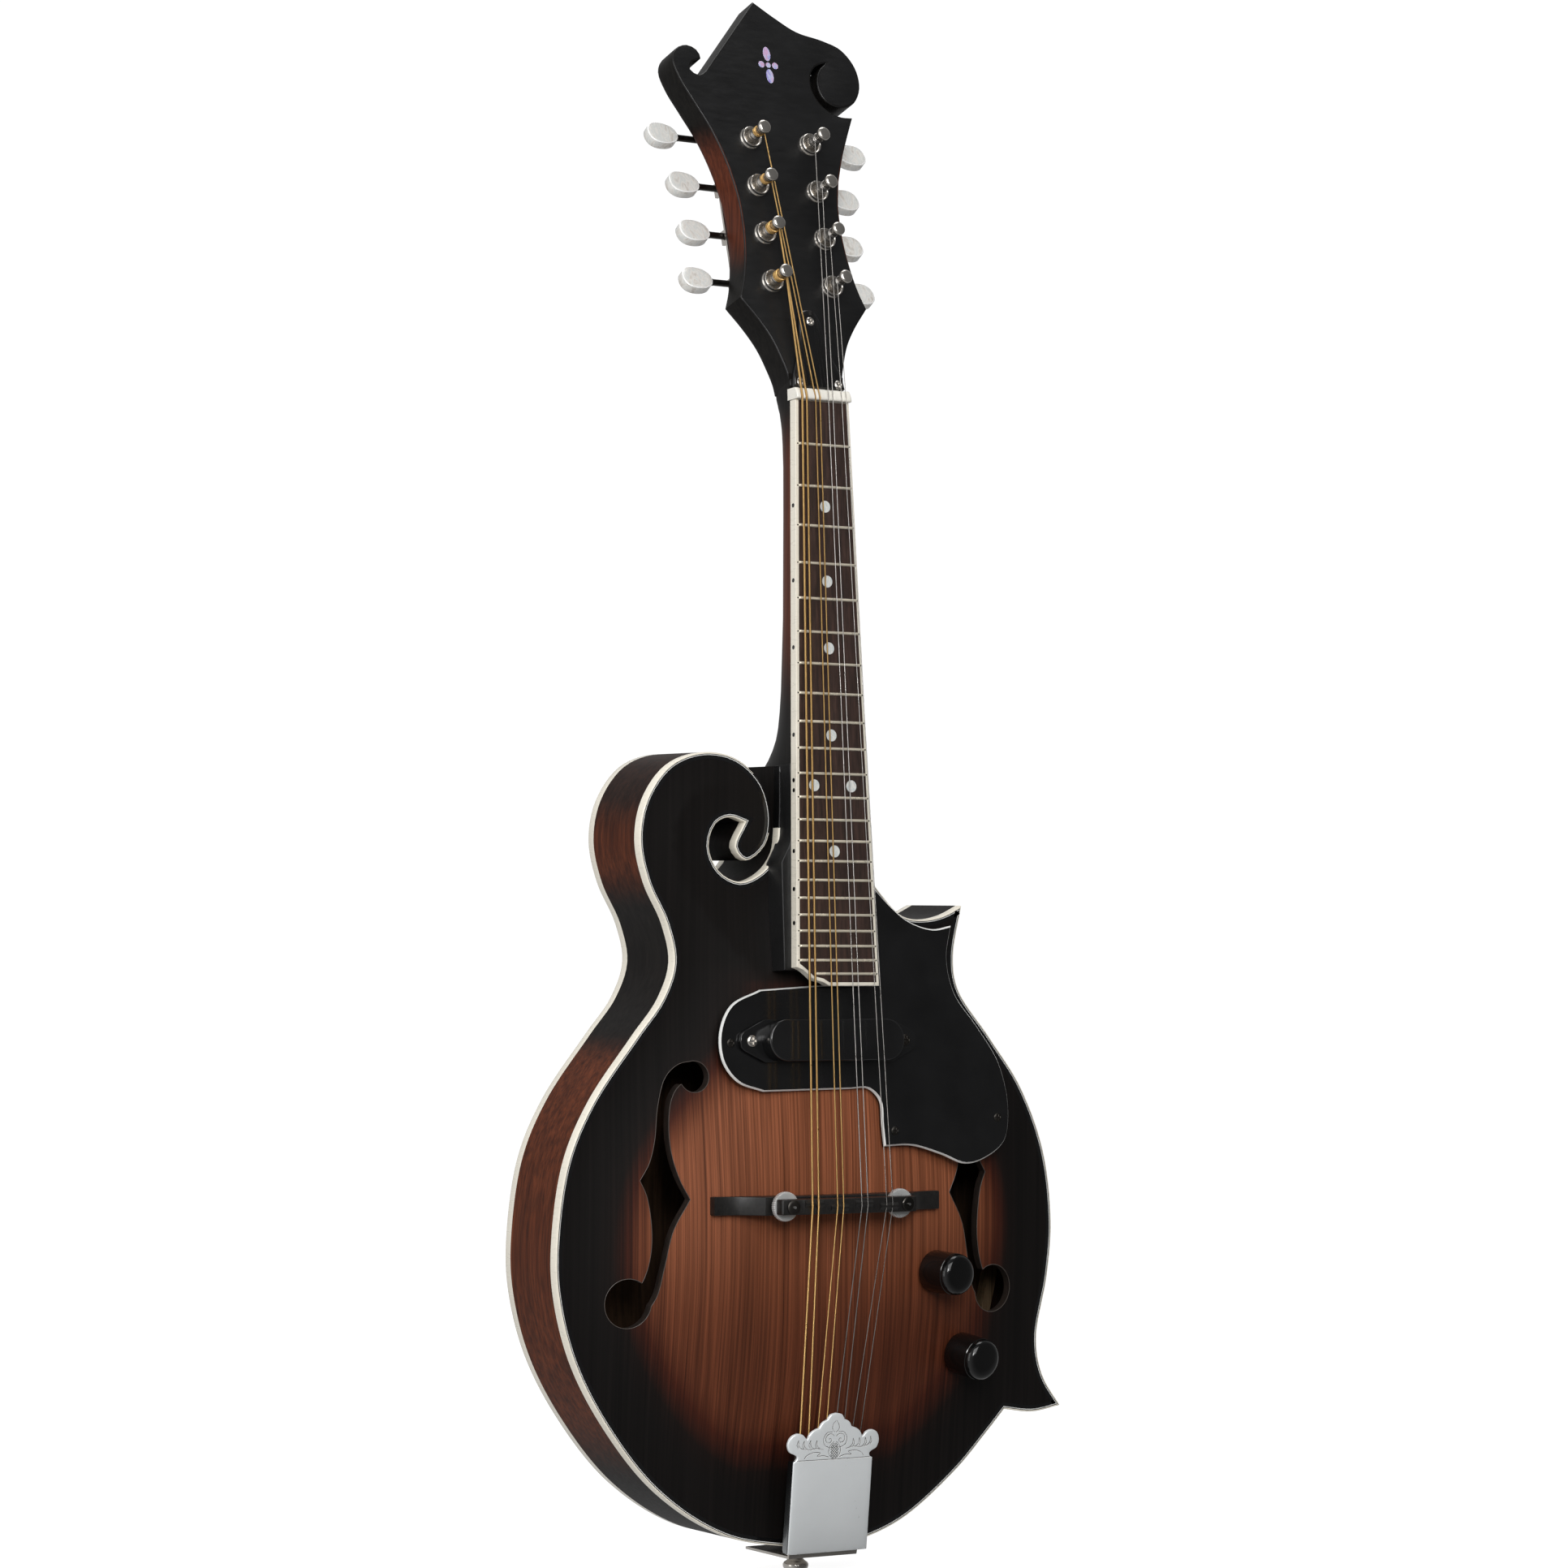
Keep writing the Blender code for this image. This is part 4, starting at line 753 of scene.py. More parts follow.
def make_soundboard():
    outer = inset(body_loop, BINDING_WIDTH + PURFLING_WIDTH)
    shafts = [circle(x, y, 3.8, 20) for x, y in KNOB_PLACES.values()]
    holes = f_hole_parts(1) + f_hole_parts(-1) + shafts
    flat, faces = triangulate([outer], 4.0, holes)
    top = raised(flat, 0, top_arch)
    shape, edges = plate(faces, top, top - (0, 0, PLATE_THICKNESS), 1)
    made = piece("soundboard", shape, [soundboard, soundboard_inside_shade], "root", ["top_plate"], 40,
                 body_value)
    smooth_normals(made, top_arch, 0, -1)
    rims = Shape()
    for run in chains(edges):
        line = top[run]
        gap = np.linalg.norm(line[0] - line[-1])
        if len(run) < 20 or gap > 8 or distance_to(plate_loop, line[:, :2]).min() < 4:
            continue
        beads, along = tube(np.concatenate([line, line[:1]]), 0.14, 6, caps=False)
        rims.add(beads, BODY, 0, along)
    piece("f_hole_edges", rims, [f_hole_edge], "root", [])


def line_ring(near, far, low, high):
    """Square ring that follows the body's edge between two insets."""
    return loft([raised(inset(body_loop, near), low), raised(inset(body_loop, near), high),
                 raised(inset(body_loop, far), high), raised(inset(body_loop, far), low)], wrap=True)


def binding_ring(face, into):
    """Binding with a softly rounded outer edge; into is +1 on the front and -1 on the back."""
    soft = 0.45
    section = [(0, BINDING_DEPTH), (0, soft), (soft * 0.3, soft * 0.3), (soft, 0), (BINDING_WIDTH, 0),
               (BINDING_WIDTH, BINDING_DEPTH)]
    return loft([raised(inset(body_loop, near), face - into * depth) for near, depth in section], wrap=True)


def rim_value(points):
    """1 where the sides are shaded to black: the scroll's top, the waist and the tail."""
    x, z = points[:, 0], points[:, 2]
    top = 0.86 * smoothstep((z - 318) / 20)
    waist = smoothstep((z - 220) / 16) * (1 - smoothstep((z - 288) / 24))
    tail = 1 - smoothstep((z - 40) / 36)
    point = 0.9 * smoothstep((x - 60) / 40)
    channel = smoothstep((z - 275) / 10) * smoothstep((x + 66) / 8)
    return np.clip(np.maximum.reduce([top, waist, tail, point, channel]), 0, 1)


def make_sides():
    shape = Shape()
    levels = np.linspace(-BINDING_DEPTH, -BODY_DEPTH + BINDING_DEPTH, 7)
    rings = [raised(body_loop, level) for level in levels]
    inner = inset(body_loop, RIM_THICKNESS)
    rings += [raised(inner, level) for level in levels[::-1]]
    shape.add(loft(rings, wrap=True), BODY)
    piece("sides", shape, [side_wood], "root", ["rim"], 50, rim_value)
    for name, face, into, node in (("front", 0.0, 1, "binding_front"),
                                   ("back", -BODY_DEPTH, -1, "binding_back")):
        verts, faces = binding_ring(face, into)
        middle = np.array([verts[list(quad)].mean(axis=0) for quad in faces])
        marks = [int(into > 0 and abs(x) < 34 and z > 324) for x, z in middle[:, :2]]
        ring = Shape().add((verts, faces, marks), BODY)
        piece(f"binding_{name}_ring", ring, [cream, black_gloss], "root", [node], 50)
    lines = Shape()
    for near, far, mark in ((0.7, 1.0, 0), (1.0, 1.3, 1), (1.3, BINDING_WIDTH + PURFLING_WIDTH, 0)):
        lines.add(line_ring(near, far - 0.01, -0.8, 0.04 - 0.01 * mark), BODY, mark)
    lines.add(line_ring(0.02, 0.5, -BINDING_DEPTH - 0.5, -BINDING_DEPTH), BODY, 0)
    piece("purfling", lines, [black_gloss, white_edge], "root", [])


def make_back():
    flat, faces = triangulate([inset(body_loop, BINDING_WIDTH)], 6.0)
    outer = np.column_stack([flat, -BODY_DEPTH - back_arch(flat)])
    shape, _ = plate(faces, outer, outer + (0, 0, PLATE_THICKNESS), 0)
    made = piece("back", shape, [back_wood, back_inside_painted_shade], "root", ["back_plate"], 40, body_value)
    smooth_normals(made, back_arch, 0, 1)


# Neck and headstock

def board_half_width(up):
    return NUT_HALF_WIDTH + (BOARD_END_HALF_WIDTH - NUT_HALF_WIDTH) * up / BOARD_END


def neck_ring(up, half_width, depth, power, count=28):
    """Flat-topped neck section whose back goes from round to square as the power rises."""
    angle = math.pi * np.arange(count + 1) / count
    across = np.sign(np.cos(angle)) * np.abs(np.cos(angle)) ** (2 / power)
    down = np.abs(np.sin(angle)) ** (2 / power)
    top = -BOARD_THICKNESS
    return np.stack([half_width * across, np.full(count + 1, up), top - depth * down], axis=1)


def neck_value(points):
    """1 where the neck is black: all of the heel, and part of the way behind the nut."""
    z = points[:, 2]
    heel = 1 - smoothstep((z - 372) / 52)
    nut_end = smoothstep((z - 478) / 34) * (1 - smoothstep((z - 568) / 20))
    tip = smoothstep((z - 620) / 18)
    return np.clip(np.maximum.reduce([heel, nut_end, tip]), 0, 1)


def make_neck():
    ups = [12, 8, 6, 4, 2, 0, -2, -4, -6, -8, -11, -14, -18, -22, -28, -36, -50, -72, -95, -112, -127, -136,
           -143, -148, -152, -156, -159, -161.5]
    depth_at = ([-161.5, -159, -156, -152, -148, -143, -136, -127, -95, -50, -22, -8, 0, 4, 8, 12],
                [44.5, 41.5, 37, 32, 28.4, 25.6, 23.4, 21.6, 18.2, 16.8, 16.4, 16.1, 15.8, 14.6, 12.6, 10.4])
    power_at = [-28, -16, -9.5, -4, 0, 4, 8], [2.1, 2.25, 2.5, 3.1, 4.2, 7.0, 8.0]
    rings = []
    for up in ups:
        depth, power = float(np.interp(up, *depth_at)), float(np.interp(up, *power_at))
        rings.append(neck_ring(up, board_half_width(min(up, 0)) + 0.15, depth, power))
    shape = Shape().add(loft(rings), NECK, 1)
    head = closed_loop(HEAD_HALF_OUTLINE + HEAD_RIGHT_OUTLINE + mirrored(HEAD_HALF_OUTLINE)
                       + [[(-13.9, 1.5), (13.9, 1.5)]], 2.2)
    # The blind pocket for the truss rod nut, under its cover
    pocket = np.array([(-5.2, 1.5), (5.2, 1.5), (4.6, 22), (-4.6, 22)], float)
    floor = [(0, -POCKET_DEPTH)]
    rings = rounded(-HEAD_THICKNESS, 0, 0.8, 2.6)
    half = len(rings) // 2
    shape.add(slab([head, pocket], rings[:half] + floor, [0, 1, 0, 0, 1, 1, 1], closed=(True, False)), HEAD)
    shape.add(slab([head], floor + rings[half:], [1] * (half + 2), closed=(False, True)), HEAD)
    shape.add((raised(pocket, -POCKET_DEPTH), [(0, 1, 2, 3)]), HEAD, 1)
    riser = closed_loop([[(-19, -160), (-19, -192), (-24.5, -203)], [(-24.5, -203), (-24.5, -250)],
                         [(-24.5, -250), (20.8, -250)], [(20.8, -250), (20.8, -160)],
                         [(20.8, -160), (-19, -160)]], 4.0)
    shape.add(slab([riser], rounded(-17.6, -BOARD_THICKNESS - 0.1, 0.5)), NECK)
    piece("neck_and_headstock", shape, [black_lacquer, neck_wood], "root", ["neck"], 40,
          neck_value)


def ribbon(points, widths, high, low=-0.1):
    """Flat strip along a line of points, with a width at each of them."""
    points = np.array(points, float)
    ahead = np.gradient(points, axis=0)
    ahead /= np.linalg.norm(ahead, axis=1)[:, None]
    side = np.stack([-ahead[:, 1], ahead[:, 0]], axis=1) * (np.broadcast_to(widths, len(points)) / 2)[:, None]
    left, right = points + side, points - side
    corners = [raised(left, high), raised(right, high), raised(right, low), raised(left, low)]
    return loft(list(np.stack(corners, axis=1)))


def make_inlay():
    """Plain rosette of four leaves round a dot, in place of any name."""
    t = np.linspace(0, math.pi, 13)
    shape = Shape().add(slab([circle(0, 0, 1.3, 24)], [(0, 0.06), (0, -0.1)]), HEAD @ shift(0.3, 157.6, 0))
    for turn, long, wide in ((0, 9.0, 1.9), (90, 5.2, 1.6), (180, 9.0, 1.9), (270, 5.2, 1.6)):
        along = 2.0 + (long - 2.0) * (1 - np.cos(t)) / 2
        leaf = np.concatenate([np.stack([wide * np.sin(t), along], axis=1),
                               np.stack([-wide * np.sin(t), along], axis=1)[-2:0:-1]])
        place = HEAD @ shift(0.3, 157.6, 0) @ Matrix.Rotation(math.radians(turn), 4, "Z")
        shape.add(slab([leaf], [(0, 0.06), (0, -0.1)]), place)
    piece("head_inlay", shape, [inlay], "root", [])


def cross_screw(shape, place, radius=2.3, height=1.1, mark=0):
    """Domed screw head with a cross recess."""
    arm, width = radius * 0.62, radius * 0.17
    cross = np.array([(width, width), (width, arm), (-width, arm), (-width, width), (-arm, width),
                      (-arm, -width), (-width, -width), (-width, -arm), (width, -arm), (width, -width),
                      (arm, -width), (arm, width)])
    rim = circle(0, 0, radius, 28)

    def dome(points):
        return -height * 0.45 * (np.hypot(*points.T) / radius) ** 2

    shape.add(slab([rim, cross], [(0.12, height), (0, height - 0.1), (0, -0.3)], None, radius / 3, dome)[:2],
              place, mark)
    shape.add(slab([circle(0, 0, radius * 0.7, 16)], [(0, height * 0.25), (0, -0.2)]), place, mark)


def make_truss_cover():
    outline = closed_loop([[(-x, y) for x, y in TRUSS_COVER_HALF[::-1]], TRUSS_COVER_HALF,
                           [(13.2, 0.8), (-13.2, 0.8)]], 1.5)
    shape = Shape().add(slab([outline], [(0.7, 2.3), (0.15, 1.95), (0, 1.7), (0, 0.25)]), HEAD)
    for x, y in TRUSS_COVER_SCREWS:
        cross_screw(shape, HEAD @ shift(x, y, 2.2), 2.0, 0.9, 1)
    piece("truss_cover", shape, [black_gloss, chrome], "root", ["truss_rod_cover"])


def string_places():
    """Each string's X at the nut and at the bridge."""
    return [(at_nut + half * 1.15, at_bridge + half * 1.55)
            for at_nut, at_bridge in COURSES for half in (-1, 1)]


def string_look(number):
    """Material and slot of a string; the first four are wound."""
    return (bronze, "wound_string") if number <= 4 else (wire, "plain_string")


def make_nut():
    xs = np.linspace(-14.2, 14.2, 143)
    notch = np.zeros(len(xs))
    for (at_nut, _), radius in zip(string_places(), STRING_RADIUS):
        notch = np.maximum(notch, 0.9 * np.clip(1 - (np.abs(xs - at_nut) / (radius + 0.25)) ** 4, 0, 1))
    soft = 0.35 * np.clip((np.abs(xs) - 13.4) / 0.8, 0, 1) ** 2
    rings = []
    for x, low in zip(xs, notch + soft):
        crest = 2.2 - low
        rings.append([(x, 0.1, -6), (x, 0.1, crest - 0.45), (x, 0.45, crest - 0.05), (x, 1.3, crest - 0.05),
                      (x, 3.4, crest - 0.75), (x, 4.8, crest - 1.75), (x, 5.1, crest - 2.1), (x, 5.1, -6)])
    piece("nut_bone", Shape().add(loft(rings), NECK), [bone], "root", ["nut"], 50)


def board_outline(margin):
    near, far = board_half_width(0) - margin, BOARD_END_HALF_WIDTH - margin
    tail = [(x, y + margin) for x, y in BOARD_TAIL]
    tail[-1] = (tail[-1][0] + margin, tail[-1][1])
    return [(near, -0.2), (far, BOARD_END + margin)] + tail + [(-near, -0.2)]


def fret_place(number):
    return -SCALE_LENGTH * (1 - 2 ** (-number / 12))


def make_fretboard():
    inner, outer = np.array(board_outline(BINDING_WIDTH)), np.array(board_outline(0))
    inner_dense = closed_loop([[tuple(a), tuple(b)] for a, b in zip(inner, np.roll(inner, -1, axis=0))], 6.0)
    board = Shape().add(slab([inner_dense], [(0, 0), (0, -BOARD_THICKNESS)]), NECK)
    marks = Shape()
    for number in FACE_DOT_FRETS:
        middle = (fret_place(number) + fret_place(number - 1)) / 2
        for x in ((-9.6, 9.6) if number == 12 else (0,)):
            marks.add(revolve([(0, 0.04), (2.6, 0.04), (2.75, -0.1), (0, -0.1)], 32),
                      NECK @ shift(x, middle, 0))
    piece("fretboard_wood", board, [rosewood], "root", ["fretboard"])
    piece("fret_markers", marks, [dots], "root", [])
    edge = Shape().add(loft([raised(outer, -BOARD_THICKNESS), raised(outer, -0.25),
                             raised(inset(outer, 0.25), 0.0), raised(inner, 0.0),
                             raised(inner, -BOARD_THICKNESS)], wrap=True), NECK)
    for number in SIDE_DOT_FRETS:
        middle = (fret_place(number) + fret_place(number - 1)) / 2
        for offset in ((-2.2, 2.2) if number == 12 else (0,)):
            place = NECK @ shift(-board_half_width(middle), middle + offset, -2.2) @ Matrix.Rotation(
                math.radians(-90), 4, "Y")
            edge.add(revolve([(0, 0.06), (0.95, 0.06), (0.95, -0.3), (0, -0.3)], 20), place, 1)
    frets = Shape()
    for number in range(1, FRETS + 1):
        up = fret_place(number)
        half = board_half_width(up) - BINDING_WIDTH + 0.1
        low = -half if number < FRETS else -12.0
        angle = np.linspace(0, math.pi, 11)
        xs = [low, low + 0.25, low + 0.7, half - 0.7, half - 0.25, half]
        sizes = [0.35, 0.8, 1.0, 1.0, 0.8, 0.35]
        across, rise = up + FRET_HALF_WIDTH * np.cos(angle), 0.9 * np.sin(angle)
        rings = [np.stack([np.full(11, x), across, size * rise - 0.02], axis=1) for x, size in zip(xs, sizes)]
        frets.add(loft(rings), NECK)
        # At each fret end, a small black mark on the binding: a painted shadow of the fret end.
        for side in (-1, 1):
            x = side * (half + 0.35) if number < FRETS or side > 0 else low
            slot = np.array([(x - 0.35, up - 0.32), (x + 0.35, up - 0.32), (x + 0.35, up + 0.32),
                             (x - 0.35, up + 0.32)])
            edge.add(slab([slot], [(0, 0.03), (0, -0.2)]), NECK, 1)
    piece("fretboard_edge", edge, [cream, black_gloss], "root", ["fretboard_binding"])
    piece("frets", frets, [nickel], "root", [], 50)


# Tuners

def post_places():
    return [(side * POST_HALF_SPACING, FIRST_POST + POST_PITCH * row) for side in (-1, 1) for row in range(4)]


def wrap_path(radius, height):
    """Turns round a post in its own frame, ending beside it on the inner side."""
    t = np.linspace(0, 2 * math.pi * WRAP_TURNS, 76)
    reach = POST_WAIST + radius
    return reach * np.cos(t), reach * np.sin(t), height - (2 * radius + 0.03) * t / (2 * math.pi)


def make_tuners():
    bushings = Shape()
    for x, y in post_places():
        bushings.add(revolve([(2.95, 1.0), (3.1, 1.2), (3.8, 2.1), (4.2, 2.6), (4.55, 2.7), (4.8, 2.5),
                              (4.85, 2.0), (4.65, 1.3), (4.8, 0.9), (5.15, 0.6), (5.2, 0.02),
                              (2.95, 0.02)], 48),
                     HEAD @ shift(x, y, 0))
    piece("bushings", bushings, [chrome], "root", [], 45)
    places = post_places()
    for number, (x, y) in enumerate(places, 1):
        shape = Shape()
        shape.add(revolve([(0, 13.9), (1.9, 13.88), (2.7, 13.7), (3.08, 13.3), (3.15, 12.6), (3.1, 11.9),
                           (2.8, 11.4), (2.3, 11.1), (2.1, 10.4), (2.0, 9.0), (2.0, 7.4), (2.15, 6.2),
                           (2.5, 5.3), (2.75, 4.6), (2.8, 3.6), (2.9, -WORM_DEPTH - 2.4),
                           (0, -WORM_DEPTH - 2.4)], 40), HEAD @ shift(x, y, 0))
        teeth = []
        for tooth in range(14):
            for reach, turn in ((3.4, 0.0), (3.5, 0.22), (4.2, 0.4), (4.2, 0.6), (3.5, 0.78)):
                angle = 2 * math.pi * (tooth + turn - 0.5) / 14
                teeth.append((reach * math.cos(angle), reach * math.sin(angle)))
        shape.add(slab([np.array(teeth)], rounded(-1.7, 1.7, 0.25, steps=2)),
                  HEAD @ shift(x, y, -WORM_DEPTH), 1)
        piece(f"post_{number}_turned", shape, [chrome, steel], f"post_{number}", [f"tuner_post_{number}"],
              45)
    for string, post in enumerate(STRING_POSTS, 1):
        x, y = places[post]
        side = 1 if x > 0 else -1
        radius = STRING_RADIUS[string - 1]
        turned_x, turned_y, turned_z = wrap_path(radius, POST_STRING)
        path = np.stack([-side * turned_x, turned_y * -1, turned_z], axis=1)
        coil, along = tube(path, radius, 8)
        shape = Shape().add(coil, HEAD @ shift(x, y, 0), 0, along)
        material, slot = string_look(string)
        piece(f"wrap_{string}", shape, [material], f"post_{post + 1}", [])
    for number, (x, y) in enumerate(places, 1):
        make_button(number, 1 if x > 0 else -1, y + WORM_OFFSET, BUTTON_CENTRE[(number - 1) % 4])


def make_button(number, side, worm, reach):
    """Worm, blackened shaft and pearly oval button."""
    place = HEAD @ shift(side * reach, worm, -WORM_DEPTH)
    axis = HEAD @ shift(0, worm, -WORM_DEPTH) @ Matrix.Rotation(math.radians(90 * side), 4, "Y")
    shape = Shape()
    shape.add(revolve([(0, 9.4), (1.4, 9.4), (1.5, 24.6), (1.5, reach - 9.0), (1.7, reach - 8.2),
                       (1.7, reach - 7), (0, reach - 7)][::-1], 24), axis, 1)
    turns, pitch = 6.0, 1.5
    t = np.linspace(0, 2 * math.pi * turns, int(turns * 18))
    helix = np.stack([1.45 * np.cos(t), 1.45 * np.sin(t), 12.6 + pitch * t / (2 * math.pi)], axis=1)
    shape.add(tube(helix, 0.3, 6)[0], axis, 1)
    angle = np.linspace(0, 2 * math.pi, 48, endpoint=False)

    def bent(value, power):
        return np.sign(value) * np.abs(value) ** power

    long, wide = BUTTON_HALF_SIZE
    oval = np.stack([long * bent(np.cos(angle), 0.88), wide * bent(np.sin(angle), 0.88)], axis=1)
    oval[:, 1] *= 1 + 0.08 * oval[:, 0] * side / long
    front = [(5.3, 2.25), (2.4, 2.3), (0.5, 2.3), (0.1, 2.12), (0.0, 1.9)]
    loops = []
    for distance, height in front + [(near, -high) for near, high in front[::-1]]:
        factor = np.array([(long - distance) / long, (wide - distance) / wide])
        loops.append(raised(oval * factor, height))
    turn = place @ Matrix.Rotation(math.radians(-BUTTON_REST_TURN), 4, "X")
    shape.add(loft(loops), turn)
    # A thin ring of painted highlight along the button's front edge.
    edge = [raised(oval * (1 - 0.6 / long), 2.34), raised(oval * (1 - 0.25 / long), 2.3),
            raised(oval * (1 + 0.02 / long), 2.05)]
    shape.add(loft(edge, caps=False), turn, 2)
    piece(f"button_{number}_oval", shape, [pearloid, dark_steel, pearl_edge_highlight], f"button_{number}",
          [f"tuner_button_{number}"], 40)


# Bridge

def knurled(radius, teeth=44, depth=0.35):
    angle = np.arange(teeth * 4) * 2 * math.pi / (teeth * 4)
    reach = radius - depth * np.array([0.0, 0.25, 1.0, 0.25])[np.arange(teeth * 4) % 4]
    return np.stack([reach * np.cos(angle), reach * np.sin(angle)], axis=1)


def make_bridge():
    end = BRIDGE_HALF_LENGTH
    xs = np.linspace(-end, end, 59)
    arch = top_arch(np.stack([xs, np.full(len(xs), BRIDGE_Z)], axis=1))
    foot = [(x, h + (0.15 if abs(x) > 18 else 2.2)) for x, h in zip(xs, arch)]
    half = smooth_run([(end, 13.2), (53, 13.3), (47, 14.6), (41, 18.4), (37.5, 21.7)], 1.5) + [(37.5, 21.7)]
    crown = [tuple(p) for p in half]
    loop = np.array(foot + crown + [(-x, h) for x, h in crown[::-1]])
    base = Shape().add(slab([loop], rounded(-4, 4, 0.45)), BRIDGE)
    piece("bridge_foot", base, [ebony], "root", ["bridge_base"])
    top = STRING_OVER_BRIDGE - 0.9
    saddle = Shape()
    crest = [(34.6, 26.1), (34.6, 30.2), (34.1, 30.9), (32.5, 31.2), (26, 31.3), (24.4, 31.5), (23, top)]
    loop = np.array(crest + [(-x, h) for x, h in crest[::-1]])
    saddle.add(slab([loop], rounded(-3.3, 3.3, 0.5)), BRIDGE)
    # Crown facets that set each course's length
    for (centre, half_width), offset in zip(((-19.2, 4.6), (-6.3, 4.4), (6.3, 4.4), (19.2, 4.6)),
                                            (-1.2, 0.7, -0.9, 0.6)):
        ridge = [(offset - 1.7, top - 0.1), (offset - 0.5, top + 0.75), (offset + 0.4, top + 0.75),
                 (offset + 1.7, top - 0.1)]
        rings = [[(x, h, z) for z, h in ridge] for x in (centre - half_width, centre + half_width)]
        saddle.add(loft(rings), BRIDGE)
    piece("bridge_top", saddle, [ebony], "saddle", ["bridge_saddle"], 30)
    for label, x in (("bass", -STUD_X), ("treble", STUD_X)):
        out = Matrix(BRIDGE) @ shift(x, 0, 0) @ Matrix.Rotation(math.radians(-90), 4, "X")
        wheel = Shape().add(slab([knurled(WHEEL_RADIUS), circle(0, 0, 1.7, 20)],
                                 rounded(23.4, 25.8, 0.35, steps=2)), out)
        piece(f"wheel_{label}", wheel, [wheel_nickel], f"wheel_{label}", [f"bridge_wheel_{label}"],
              30)
        profile = [(0, 33.0), (0.55, 33.0), (0.62, 32.1), (1.25, 32.1), (1.35, 31.8)]
        level = 31.6
        while level > 14.6:
            profile += [(1.36, level), (1.12, level - 0.22)]
            level -= 0.45
        stud = Shape().add(revolve(profile + [(1.3, 14.3), (0, 14.3)], 20), out)
        piece(f"stud_{label}", stud, [steel], "root", [f"bridge_stud_{label}"], 30)
        ring = Shape().add(revolve([(1.75, 31.5), (3.1, 31.5), (3.1, 31.9), (2.7, 32.2), (1.75, 32.2)],
                                   28), out)
        piece(f"stud_ring_{label}", ring, [dark_steel], "saddle", [], 40)


# Pickguard, pickup and controls

def make_pickguard():
    outline = closed_loop(PICKGUARD_OUTLINE, 2.2)
    shape = Shape().add(slab([outline], [(0.66, 0.0), (0.08, -0.72), (0, -0.9), (0, -1.3), (0, -2.2)],
                             [0, 1, 1, 1, 0, 0]), GUARD)
    for x, y in GUARD_SCREWS:
        cross_screw(shape, GUARD @ shift(x, y, 0), 1.9, 0.6, 2)
    piece("pickguard_plate", shape, [black_gloss, white_edge, dark_steel], "root", ["pickguard"])


def make_pickup():
    long, wide = PICKUP_HALF_SIZE
    flat = long - wide
    angle = [math.pi * (i + 0.5) / 24 - math.pi / 2 for i in range(48)]
    track = np.array([(math.copysign(flat, math.cos(a)) + wide * math.cos(a),
                       PICKUP_Y + wide * math.sin(a)) for a in angle])
    half = [(45.3, 0), (45, 2.6), (43.4, 4.2), (33, 9.3), (-33, 9.3), (-43.4, 4.2), (-45, 2.6)]
    ears = np.array(half + [(-x, -y) for x, y in half]) + (0, PICKUP_Y)
    shape = Shape().add(slab([ears], rounded(0.2, 2.2, 0.4)), GUARD)
    shape.add(slab([track], rounded(1.0, 9.6, 1.1, 0.2, steps=5)), GUARD)
    for x, mark in ((-39.6, 1), (39.6, 2)):
        cross_screw(shape, GUARD @ shift(x, PICKUP_Y, 2.1), 2.5, 1.2, mark)
    piece("pickup_housing", shape, [black_gloss, chrome, dark_steel], "root", ["pickup"], 40)


def knob_frame(place):
    step = 4.0
    x, y = place
    around = top_arch([(x + step, y), (x - step, y), (x, y + step), (x, y - step), (x, y)])
    normal = Vector((-(around[0] - around[1]) / (2 * step), -1.0, -(around[2] - around[3]) / (2 * step)))
    return axis_frame(Vector((x, SOUNDBOARD_Y - around[4], y)) * MM, normal)


def make_controls():
    for name, place in KNOB_PLACES.items():
        high, wide = KNOB_HEIGHT, KNOB_RADIUS
        shape = Shape().add(revolve(
            [(0, high), (3.5, high - 0.15), (6.0, high - 0.6), (7.5, high - 1.2), (8.4, high - 2.0),
             (8.95, high - 3.1), (9.15, high - 4.4), (9.02, high - 4.6), (9.02, high - 4.9),
             (9.22, high - 5.1), (wide, 8.0), (wide + 0.05, 2.0), (9.1, 1.4), (3.0, 1.4), (3.0, -12.5),
             (0, -12.5)], 96), knob_frame(place))
        piece(f"{name}_knob_cap", shape, [knob_black], f"{name}_knob", [f"knob_{name}"], 30)
    mid = Vector((128.6, SOUNDBOARD_Y + BODY_DEPTH / 2, JACK_Z)) * MM
    holder = axis_frame(mid, (1, 0, 0))
    hexagon = circle(0, 0, 9.4, 6)
    shape = Shape().add(slab([circle(0, 0, 10.9, 40), circle(0, 0, 5.0, 32)], rounded(0.5, 1.1, 0.2)), holder)
    shape.add(slab([hexagon, circle(0, 0, 4.6, 32)], [(0.5, 2.0), (0.0, 1.7), (0, 1.0)]), holder)
    shape.add(loft([raised(circle(0, 0, radius, 32), height) for radius, height in (
        (5.6, -23.8), (5.6, 1.9), (3.9, 1.95), (3.4, 1.5), (3.3, -23.8))], wrap=True), holder)
    piece("jack_and_nut", shape, [chrome], "root", ["output_jack"], 30)


# Tail end

def spiral(x, y, turns, start, growth, flip=1):
    t = np.linspace(0, turns * 2 * math.pi, 40)
    reach = growth * t
    return np.stack([x + flip * reach * np.cos(t + start), y + reach * np.sin(t + start)], axis=1)


